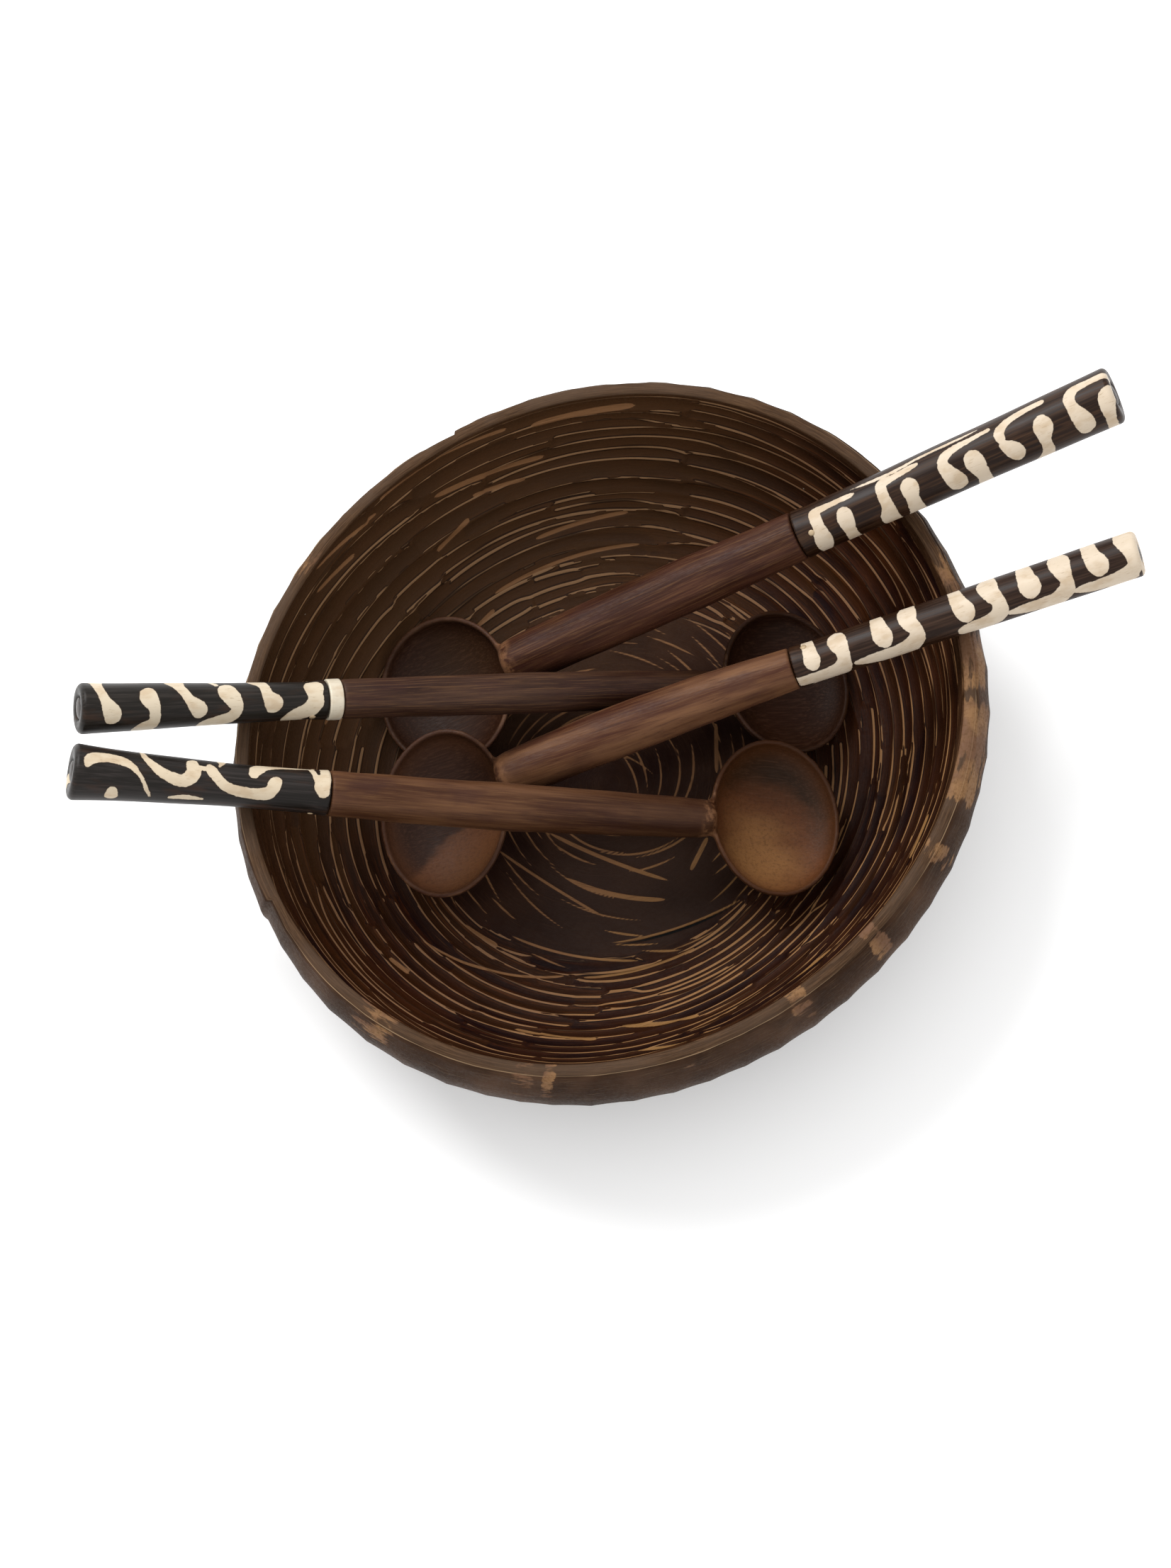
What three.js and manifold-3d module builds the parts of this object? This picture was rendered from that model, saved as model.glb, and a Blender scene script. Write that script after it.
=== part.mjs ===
// A carved oval wooden bowl and the four long serving spoons that lie crossed in it.
// Each spoon is one carved piece of wood (head, shaft and tang) with a bone sleeve over
// the tang, a cross pin that locks the sleeve and a plug that closes its open end.
// Millimetres and degrees, +Z up. The origin is the centre of the bowl's flat foot.

import * as THREE from 'three';
import { mergeVertices } from 'three/addons/utils/BufferGeometryUtils.js';
import Module from 'manifold-3d';

const wasm = await Module();
wasm.setup();

// ---- Driving dimensions ----

const CLEARANCE = 0.4; // gap kept between pieces that touch
const LIFT_TILT = 16; // the spoons lift out upwards and this much towards the near side

const BOWL = {
  meanRadius: 143.6, // widest outline, halfway between its long and its short radius
  ovalStretch: 7.8, // long radius minus mean radius
  ovalAngle: 40, // direction of the long axis, from +X
  egg: 1, // how much further the outline reaches on its full side than on average
  eggAngle: 70, // direction of the full side
  height: 88,
  footRadius: 64,
  floorRadius: 76, // where the floor turns up into the wall
  floorThickness: 12,
  floorDish: 2, // how much lower the middle of the floor is
  rimWidth: 5, // flat top of the rim
  rimInset: 4.5, // mean distance from the widest outline in to the rim's outer edge
  rimInsetSwing: 4, // how much the inset differs round the bowl
  rimInsetAngle: -50, // direction in which the inset is largest
  rimDepth: 16, // height of the rim above the widest outline
};

const SPOON_HEAD = {
  depth: 15, // rim plane to the underside
  wall: 3, // at the bottom of the hollow
  lip: 2, // width of the rim
  rise: 3, // rim plane above the handle's axis
  shaftOverlap: 2.5, // how far the shaft runs into the head
};
const TANG = { radius: 4.1, length: 46, chamfer: 1.2 };
const SLEEVE_EDGE = 2.2; // rounding of the sleeve's free end
const PLUG = { length: 11, dome: 0.8 };
const PIN = { radius: 1.2, fromJoint: 6 };
const COLLAR = { width: 5.4, proud: 0.3 };

// headAt is the plan position of the head's centre when its axis is at HEAD_LEVEL, and heading
// the handle's direction from +X. reach is the distance from the head's centre to the sleeve.
// Radii run from the head outwards.
const HEAD_LEVEL = 30;
const SPOONS = [
  {
    name: 'spoon_far_right',
    headAt: [-65.7, 32],
    heading: 18.6,
    reach: 156,
    head: { length: 57, width: 62, turn: -10, offset: 0 },
    shaft: { neck: 9.6, middle: 11, joint: 9.8, bow: 0 },
    sleeve: { length: 132, joint: 9.8, middle: 10.6, end: 11.6 },
    pinTurn: 25,
    collar: false,
  },
  {
    name: 'spoon_far_left',
    headAt: [70, 36],
    heading: -171.8,
    reach: 184.8,
    head: { length: 54, width: 61, turn: 4, offset: 0 },
    shaft: { neck: 7.2, middle: 8.3, joint: 7.6, bow: 1 },
    sleeve: { length: 95, joint: 7.6, middle: 8.6, end: 10.3 },
    pinTurn: 100,
    collar: true,
  },
  {
    name: 'spoon_near_right',
    headAt: [-65.4, -18.6],
    heading: 14.5,
    reach: 149,
    head: { length: 53, width: 68, turn: -15, offset: -11.5 },
    shaft: { neck: 9.4, middle: 10.4, joint: 8.2, bow: -5 },
    sleeve: { length: 138, joint: 8.2, middle: 8.6, end: 9.2 },
    pinTurn: -40,
    collar: false,
  },
  {
    name: 'spoon_near_left',
    headAt: [64.1, -20.6],
    heading: 179.7,
    reach: 179,
    head: { length: 54, width: 64, turn: 4, offset: -4.9 },
    shaft: { neck: 7.6, middle: 9.4, joint: 8.7, bow: -2.7 },
    sleeve: { length: 97, joint: 8.7, middle: 8.6, end: 11 },
    pinTurn: 80,
    collar: false,
  },
];

const COLOURS = {
  bowlWood: 0x3a261b,
  spoonWood: 0x5a3a2c,
  dyedBone: 0x2d2825,
  paleBone: 0xe6dac2,
  plug: 0x231d19,
};

// ---- Fineness of the round surfaces ----

const BOWL_SIDES = 48;
const HEAD_SIDES = 28;
const SHAFT_SIDES = 16;
const PIN_SIDES = 8;
const OUTER_STEPS = 8; // rings up the bowl's outside
const RIM_STEPS = 3;
const INNER_STEPS = 9;
const FLOOR_STEPS = 3;
const HEAD_STEPS = 6;
const SHAFT_STEPS = 10;
const SLEEVE_STEPS = 6;

const rad = THREE.MathUtils.degToRad;

// ---- Solids ----

// Joins a geometry's shared corners and makes it a solid that can be cut and joined.
function toSolid(geometry) {
  const bare = geometry.clone();
  bare.deleteAttribute('normal');
  bare.deleteAttribute('uv');
  const merged = mergeVertices(bare, 1e-4);
  return new wasm.Manifold(
    new wasm.Mesh({
      numProp: 3,
      vertProperties: merged.attributes.position.array,
      triVerts: new Uint32Array(merged.index.array),
    }),
  );
}

function toGeometry(solid) {
  const mesh = solid.getMesh();
  const geometry = new THREE.BufferGeometry();
  geometry.setAttribute('position', new THREE.BufferAttribute(mesh.vertProperties, 3));
  geometry.setIndex(new THREE.BufferAttribute(mesh.triVerts, 1));
  geometry.computeVertexNormals();
  return geometry;
}

// A solid of revolution about the X axis. The profile is a list of [along, radius] pairs.
function turned(profile, sides) {
  const points = profile.map(([along, radius]) => new THREE.Vector2(radius, along));
  return new THREE.LatheGeometry(points, sides).rotateZ(-Math.PI / 2);
}

// The value at t of the parabola that passes through a, b and c at t = 0, 1/2 and 1.
function throughThree(a, b, c, t) {
  return a + (4 * b - 3 * a - c) * t + 2 * (a + c - 2 * b) * t * t;
}

// ---- Bowl ----

// Radius of the bowl's widest outline in one direction.
function planRadius(angle) {
  const oval = BOWL.ovalStretch * Math.cos(2 * (angle - rad(BOWL.ovalAngle)));
  const egg = BOWL.egg * Math.cos(angle - rad(BOWL.eggAngle));
  return BOWL.meanRadius + oval + egg;
}

// A quarter ellipse from (r0, z0), where it is level, to (r1, z1), where it is upright.
function quarterTurn(r0, z0, r1, z1, steps) {
  return Array.from({ length: steps + 1 }, (_, i) => {
    const t = ((i / steps) * Math.PI) / 2;
    return [r0 + (r1 - r0) * Math.sin(t), z1 - (z1 - z0) * Math.cos(t)];
  });
}

// The bowl's section in one direction: underside, outside, rim, inside and floor.
function bowlSection(angle) {
  const widest = planRadius(angle);
  const share = widest / BOWL.meanRadius;
  const foot = BOWL.footRadius * share;
  const floor = BOWL.floorRadius * share;
  const inset = BOWL.rimInset + BOWL.rimInsetSwing * Math.cos(angle - rad(BOWL.rimInsetAngle));
  const rimOuter = widest - inset;
  const rimInner = rimOuter - BOWL.rimWidth;
  const widestHeight = BOWL.height - BOWL.rimDepth;
  const section = [[0, 0], ...quarterTurn(foot, 0, widest, widestHeight, OUTER_STEPS)];
  for (let i = 1; i <= RIM_STEPS; i++) {
    const t = i / RIM_STEPS;
    section.push([widest - inset * t * t, widestHeight + BOWL.rimDepth * t]);
  }
  const inside = quarterTurn(floor, BOWL.floorThickness, rimInner, BOWL.height, INNER_STEPS);
  section.push(...inside.reverse());
  for (let i = FLOOR_STEPS - 1; i >= 0; i--) {
    const t = i / FLOOR_STEPS;
    section.push([floor * t, BOWL.floorThickness - BOWL.floorDish * (1 - t * t)]);
  }
  return section;
}

// A revolved body whose section follows the oval outline as it goes round.
function bowlGeometry() {
  const points = bowlSection(0).map(([radius, z]) => new THREE.Vector2(radius, z));
  const geometry = new THREE.LatheGeometry(points, BOWL_SIDES);
  const position = geometry.getAttribute('position');
  for (let side = 0; side <= BOWL_SIDES; side++) {
    const angle = ((side % BOWL_SIDES) / BOWL_SIDES) * 2 * Math.PI;
    bowlSection(angle).forEach(([radius, z], i) => {
      const x = radius * Math.cos(angle);
      const y = radius * Math.sin(angle);
      position.setXYZ(side * points.length + i, x, y, z);
    });
  }
  return toGeometry(toSolid(geometry));
}

// ---- Spoon pieces, in the spoon's own frame: +X runs up the handle from the head's centre ----

// Sideways shift of the shaft's axis, which leaves the handle's line towards the head.
function bowAt(spoon, x) {
  const neck = spoon.head.length / 2;
  const t = Math.max(0, (spoon.reach - x) / (spoon.reach - neck));
  return spoon.shaft.bow * t * t;
}

// A bowl-shaped solid of revolution, stretched to an oval: its rim is level at z = rise.
function headCup(spoon, shrink, depth, above) {
  const profile = [[-depth, 0]];
  for (let i = 1; i <= HEAD_STEPS; i++) {
    const t = ((i / HEAD_STEPS) * Math.PI) / 2;
    profile.push([-depth * Math.cos(t), Math.sin(t)]);
  }
  if (above > 0) profile.push([above, 1]);
  profile.push([above, 0]);
  const points = profile.map(([z, radius]) => new THREE.Vector2(radius, z));
  const { length, width, turn, offset } = spoon.head;
  return new THREE.LatheGeometry(points, HEAD_SIDES)
    .rotateX(Math.PI / 2)
    .scale(length / 2 - shrink, width / 2 - shrink, 1)
    .rotateZ(rad(turn))
    .translate(0, offset, SPOON_HEAD.rise);
}

// Shaft and tang, turned along X and then bent to meet the head.
function shaftGeometry(spoon) {
  const start = spoon.head.length / 2 - SPOON_HEAD.shaftOverlap;
  const { neck, middle, joint } = spoon.shaft;
  const tangEnd = spoon.reach + TANG.length;
  const profile = [
    [start, 0],
    [start, neck * 0.6],
  ];
  for (let i = 1; i <= SHAFT_STEPS; i++) {
    const t = i / SHAFT_STEPS;
    profile.push([start + (spoon.reach - start) * t, throughThree(neck, middle, joint, t)]);
  }
  profile.push([spoon.reach, TANG.radius], [tangEnd - TANG.chamfer, TANG.radius]);
  profile.push([tangEnd, TANG.radius - TANG.chamfer], [tangEnd, 0]);
  const geometry = turned(profile, SHAFT_SIDES);
  const position = geometry.getAttribute('position');
  for (let i = 0; i < position.count; i++) {
    position.setY(i, position.getY(i) + bowAt(spoon, position.getX(i)));
  }
  return geometry;
}

// Where the bone sleeve starts: past the shoulder and, if there is one, the collar.
function sleeveStart(spoon) {
  const collar = spoon.collar ? COLLAR.width + CLEARANCE : 0;
  return spoon.reach + CLEARANCE + collar;
}

function sleeveRadius(spoon, x) {
  const { length, joint, middle, end } = spoon.sleeve;
  return throughThree(joint, middle, end, (x - sleeveStart(spoon)) / length);
}

// A rod along the pin's line through the handle, centred on the axis.
function pinRod(spoon, radius, halfLength) {
  return new THREE.CylinderGeometry(radius, radius, 2 * halfLength, PIN_SIDES)
    .rotateX(Math.PI / 2)
    .rotateX(rad(spoon.pinTurn))
    .translate(sleeveStart(spoon) + PIN.fromJoint, 0, 0);
}

function pinHole(spoon) {
  return toSolid(pinRod(spoon, PIN.radius + CLEARANCE, 2 * spoon.sleeve.end));
}

function woodGeometry(spoon) {
  const shell = toSolid(headCup(spoon, 0, SPOON_HEAD.depth, 0));
  const above = 3 * SPOON_HEAD.depth;
  const hollow = toSolid(headCup(spoon, SPOON_HEAD.lip, SPOON_HEAD.depth - SPOON_HEAD.wall, above));
  const body = shell.add(toSolid(shaftGeometry(spoon)));
  return toGeometry(body.subtract(hollow).subtract(pinHole(spoon)));
}

function sleeveGeometry(spoon) {
  const start = sleeveStart(spoon);
  const end = start + spoon.sleeve.length;
  const bore = TANG.radius + CLEARANCE;
  const roundStart = end - SLEEVE_EDGE;
  const profile = [[start, bore]];
  for (let i = 0; i <= SLEEVE_STEPS; i++) {
    const x = start + ((roundStart - start) * i) / SLEEVE_STEPS;
    profile.push([x, sleeveRadius(spoon, x)]);
  }
  const rounded = [Math.PI / 4, Math.PI / 2].map((t) => [
    roundStart + SLEEVE_EDGE * Math.sin(t),
    sleeveRadius(spoon, roundStart) - SLEEVE_EDGE * (1 - Math.cos(t)),
  ]);
  profile.push(...rounded, [end, bore], [start, bore]);
  return toGeometry(toSolid(turned(profile, SHAFT_SIDES)).subtract(pinHole(spoon)));
}

function plugGeometry(spoon) {
  const end = sleeveStart(spoon) + spoon.sleeve.length;
  const radius = TANG.radius;
  const profile = [
    [end - PLUG.length, 0],
    [end - PLUG.length, radius],
    [end, radius],
    [end + PLUG.dome / 2, radius / 2],
    [end + PLUG.dome, 0],
  ];
  return turned(profile, SHAFT_SIDES);
}

function pinGeometry(spoon) {
  return pinRod(spoon, PIN.radius, sleeveRadius(spoon, sleeveStart(spoon) + PIN.fromJoint));
}

function collarGeometry(spoon) {
  const start = spoon.reach + CLEARANCE;
  const end = start + COLLAR.width;
  const bore = TANG.radius + CLEARANCE;
  const outer = spoon.sleeve.joint + COLLAR.proud;
  const profile = [
    [start, bore],
    [start, outer],
    [end, outer],
    [end, bore],
    [start, bore],
  ];
  return turned(profile, SHAFT_SIDES);
}

function piece(name, geometry, color, roughness) {
  const material = new THREE.MeshStandardMaterial({ color, roughness, metalness: 0 });
  const mesh = new THREE.Mesh(geometry, material);
  mesh.name = name;
  return mesh;
}

function spoonGroup(spoon) {
  const group = new THREE.Group();
  group.add(
    piece(`${spoon.name}_wood`, woodGeometry(spoon), COLOURS.spoonWood, 0.6),
    piece(`${spoon.name}_sleeve`, sleeveGeometry(spoon), COLOURS.dyedBone, 0.4),
    piece(`${spoon.name}_end_plug`, plugGeometry(spoon), COLOURS.plug, 0.5),
    piece(`${spoon.name}_pin`, pinGeometry(spoon), COLOURS.paleBone, 0.5),
  );
  if (spoon.collar) {
    group.add(piece(`${spoon.name}_collar`, collarGeometry(spoon), COLOURS.paleBone, 0.4));
  }
  return group;
}

// ---- Resting each spoon on what lies below it ----

const CELL = 0.75; // spacing of the points at which heights are compared
const FIELD_REACH = 240; // half the side of the square that is compared
const FIELD_SIDE = Math.round((2 * FIELD_REACH) / CELL);
const SETTLE_ROUNDS = 14;
const START = { lift: 60, slope: Math.tan(rad(20)) };

const liftDirection = new THREE.Vector3(0, -Math.sin(rad(LIFT_TILT)), Math.cos(rad(LIFT_TILT)));
// Turns the lift direction upright, so that distances along it are heights.
const liftUpright = new THREE.Matrix4().makeRotationX(-rad(LIFT_TILT));

// Heights of the highest (sign 1) or lowest (sign -1) surface of a group, on a square grid.
function heightField(group, sign) {
  const field = new Float32Array(FIELD_SIDE * FIELD_SIDE).fill(NaN);
  const corners = [new THREE.Vector3(), new THREE.Vector3(), new THREE.Vector3()];
  group.updateMatrixWorld(true);
  group.traverse((mesh) => {
    if (!mesh.isMesh) return;
    const placed = new THREE.Matrix4().multiplyMatrices(liftUpright, mesh.matrixWorld);
    const flat = mesh.geometry.toNonIndexed().getAttribute('position');
    for (let i = 0; i < flat.count; i += 3) {
      corners.forEach((corner, k) => corner.fromBufferAttribute(flat, i + k).applyMatrix4(placed));
      drawTriangle(field, sign, ...corners);
    }
  });
  return field;
}

function drawTriangle(field, sign, a, b, c) {
  const area = (b.x - a.x) * (c.y - a.y) - (c.x - a.x) * (b.y - a.y);
  if (Math.abs(area) < 1e-9) return;
  const toCell = (value) => (value + FIELD_REACH) / CELL;
  const lastX = Math.floor(toCell(Math.max(a.x, b.x, c.x)));
  const lastY = Math.floor(toCell(Math.max(a.y, b.y, c.y)));
  for (let row = Math.ceil(toCell(Math.min(a.y, b.y, c.y))); row <= lastY; row++) {
    for (let column = Math.ceil(toCell(Math.min(a.x, b.x, c.x))); column <= lastX; column++) {
      const x = column * CELL - FIELD_REACH;
      const y = row * CELL - FIELD_REACH;
      const v = ((x - a.x) * (c.y - a.y) - (c.x - a.x) * (y - a.y)) / area;
      const w = ((b.x - a.x) * (y - a.y) - (x - a.x) * (b.y - a.y)) / area;
      if (v < 0 || w < 0 || v + w > 1) continue;
      const z = a.z + v * (b.z - a.z) + w * (c.z - a.z);
      const cell = row * FIELD_SIDE + column;
      if (!(field[cell] * sign > z * sign)) field[cell] = z;
    }
  }
}

// The plan position of the point of the handle's axis that is level with the head's centre.
function axisUnderHead(spoon) {
  const sideways = rad(spoon.heading) + Math.PI / 2;
  const { offset } = spoon.head;
  const [x, y] = spoon.headAt;
  return new THREE.Vector3(
    x - offset * Math.cos(sideways),
    y - offset * Math.sin(sideways),
    HEAD_LEVEL,
  );
}

// The smallest gap over the head and over the handle, each with its distance from the head.
function smallestGaps(spoon, underside, surface) {
  const along = [Math.cos(rad(spoon.heading)), Math.sin(rad(spoon.heading))];
  const origin = axisUnderHead(spoon).applyMatrix4(liftUpright);
  const head = { gap: Infinity, at: 0 };
  const handle = { gap: Infinity, at: 0 };
  for (let cell = 0; cell < underside.length; cell++) {
    const gap = underside[cell] - surface[cell];
    if (Number.isNaN(gap)) continue;
    const x = (cell % FIELD_SIDE) * CELL - FIELD_REACH - origin.x;
    const y = Math.floor(cell / FIELD_SIDE) * CELL - FIELD_REACH - origin.y;
    const at = x * along[0] + y * along[1];
    const zone = at < spoon.head.length ? head : handle;
    if (gap < zone.gap) Object.assign(zone, { gap, at });
  }
  return { head, handle };
}

// Lowers a spoon until its head and its handle both rest, CLEARANCE from what is below.
function settle(spoon, group, below) {
  const surface = heightField(below, 1);
  let { lift, slope } = START;
  for (let round = 0; round < SETTLE_ROUNDS; round++) {
    group.position.copy(axisUnderHead(spoon)).addScaledVector(liftDirection, lift);
    group.rotation.set(0, -Math.atan(slope), rad(spoon.heading), 'ZYX');
    const { head, handle } = smallestGaps(spoon, heightField(group, -1), surface);
    const headDrop = head.gap - CLEARANCE;
    const handleDrop = handle.gap - CLEARANCE;
    const turn = (handleDrop - headDrop) / (handle.at - head.at);
    lift -= headDrop - turn * head.at;
    slope -= turn;
  }
}

// ---- The set ----

const set = new THREE.Group();
set.add(piece('bowl', bowlGeometry(), COLOURS.bowlWood, 0.6));
for (const spoon of SPOONS) {
  const group = spoonGroup(spoon);
  settle(spoon, group, set);
  set.add(group);
}

export default set;
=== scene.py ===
"""Looks of the carved wooden bowl and its four bone-handled spoons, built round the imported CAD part.

Lengths below are in millimetres and angles in degrees unless a name says otherwise.
"""

import math

import bpy
import numpy as np
from mathutils import Matrix, Vector


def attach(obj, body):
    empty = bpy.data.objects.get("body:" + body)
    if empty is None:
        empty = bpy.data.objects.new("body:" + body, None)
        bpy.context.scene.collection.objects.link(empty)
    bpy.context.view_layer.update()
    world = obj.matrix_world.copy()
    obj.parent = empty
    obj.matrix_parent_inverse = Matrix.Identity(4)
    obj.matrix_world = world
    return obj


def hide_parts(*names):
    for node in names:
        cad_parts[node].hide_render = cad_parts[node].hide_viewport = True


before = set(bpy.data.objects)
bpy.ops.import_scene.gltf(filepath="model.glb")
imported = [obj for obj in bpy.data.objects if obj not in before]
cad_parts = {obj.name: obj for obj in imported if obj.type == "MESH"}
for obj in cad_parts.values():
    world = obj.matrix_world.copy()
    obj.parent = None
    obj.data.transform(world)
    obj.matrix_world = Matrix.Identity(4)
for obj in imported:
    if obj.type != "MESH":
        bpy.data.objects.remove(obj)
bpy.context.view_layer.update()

MM = 0.001  # metres in a millimetre
SEED = 41

# ---- Sizes that the solids also have ----

CLEARANCE = 0.4
MEAN_RADIUS = 143.6
OVAL_STRETCH, OVAL_ANGLE = 7.8, 40
EGG, EGG_ANGLE = 1.0, 70
BOWL_HEIGHT = 88
FOOT_RADIUS = 64
FLOOR_RADIUS = 76
FLOOR_THICKNESS, FLOOR_DISH = 12, 2
RIM_WIDTH, RIM_DEPTH = 5, 16
RIM_INSET, RIM_INSET_SWING, RIM_INSET_ANGLE = 4.5, 4, -50
HEAD_DEPTH, HEAD_WALL, HEAD_LIP, HEAD_RISE = 15, 3, 2, 3
SHAFT_OVERLAP = 2.5
TANG_RADIUS, TANG_LENGTH, TANG_CHAMFER = 4.1, 46, 1.2
SLEEVE_EDGE = 2.2
PLUG_LENGTH, PLUG_DOME = 11, 0.8
PIN_RADIUS, PIN_FROM_JOINT = 1.2, 6
COLLAR_WIDTH, COLLAR_PROUD = 5.4, 0.3

# reach: how far from the head's middle the shaft ends and the tang begins.
# head: length, width, turn, offset. shaft: neck, middle and joint radius, and bow.
# sleeve: length and three radii. pin: its turn about the handle.
SPOONS = {
    "spoon_far_right": {
        "reach": 156, "head": (57, 62, -10, 0), "shaft": (9.6, 11, 9.8, 0),
        "sleeve": (132, 9.8, 10.6, 11.6), "pin": 25, "collar": False,
    },
    "spoon_far_left": {
        "reach": 184.8, "head": (54, 61, 4, 0), "shaft": (7.2, 8.3, 7.6, 1),
        "sleeve": (95, 7.6, 8.6, 10.3), "pin": 100, "collar": True,
    },
    "spoon_near_right": {
        "reach": 149, "head": (53, 68, -15, -11.5), "shaft": (9.4, 10.4, 8.2, -5),
        "sleeve": (138, 8.2, 8.6, 9.2), "pin": -40, "collar": False,
    },
    "spoon_near_left": {
        "reach": 179, "head": (54, 64, 4, -4.9), "shaft": (7.6, 9.4, 8.7, -2.7),
        "sleeve": (97, 8.7, 8.6, 11), "pin": 80, "collar": False,
    },
}

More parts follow.
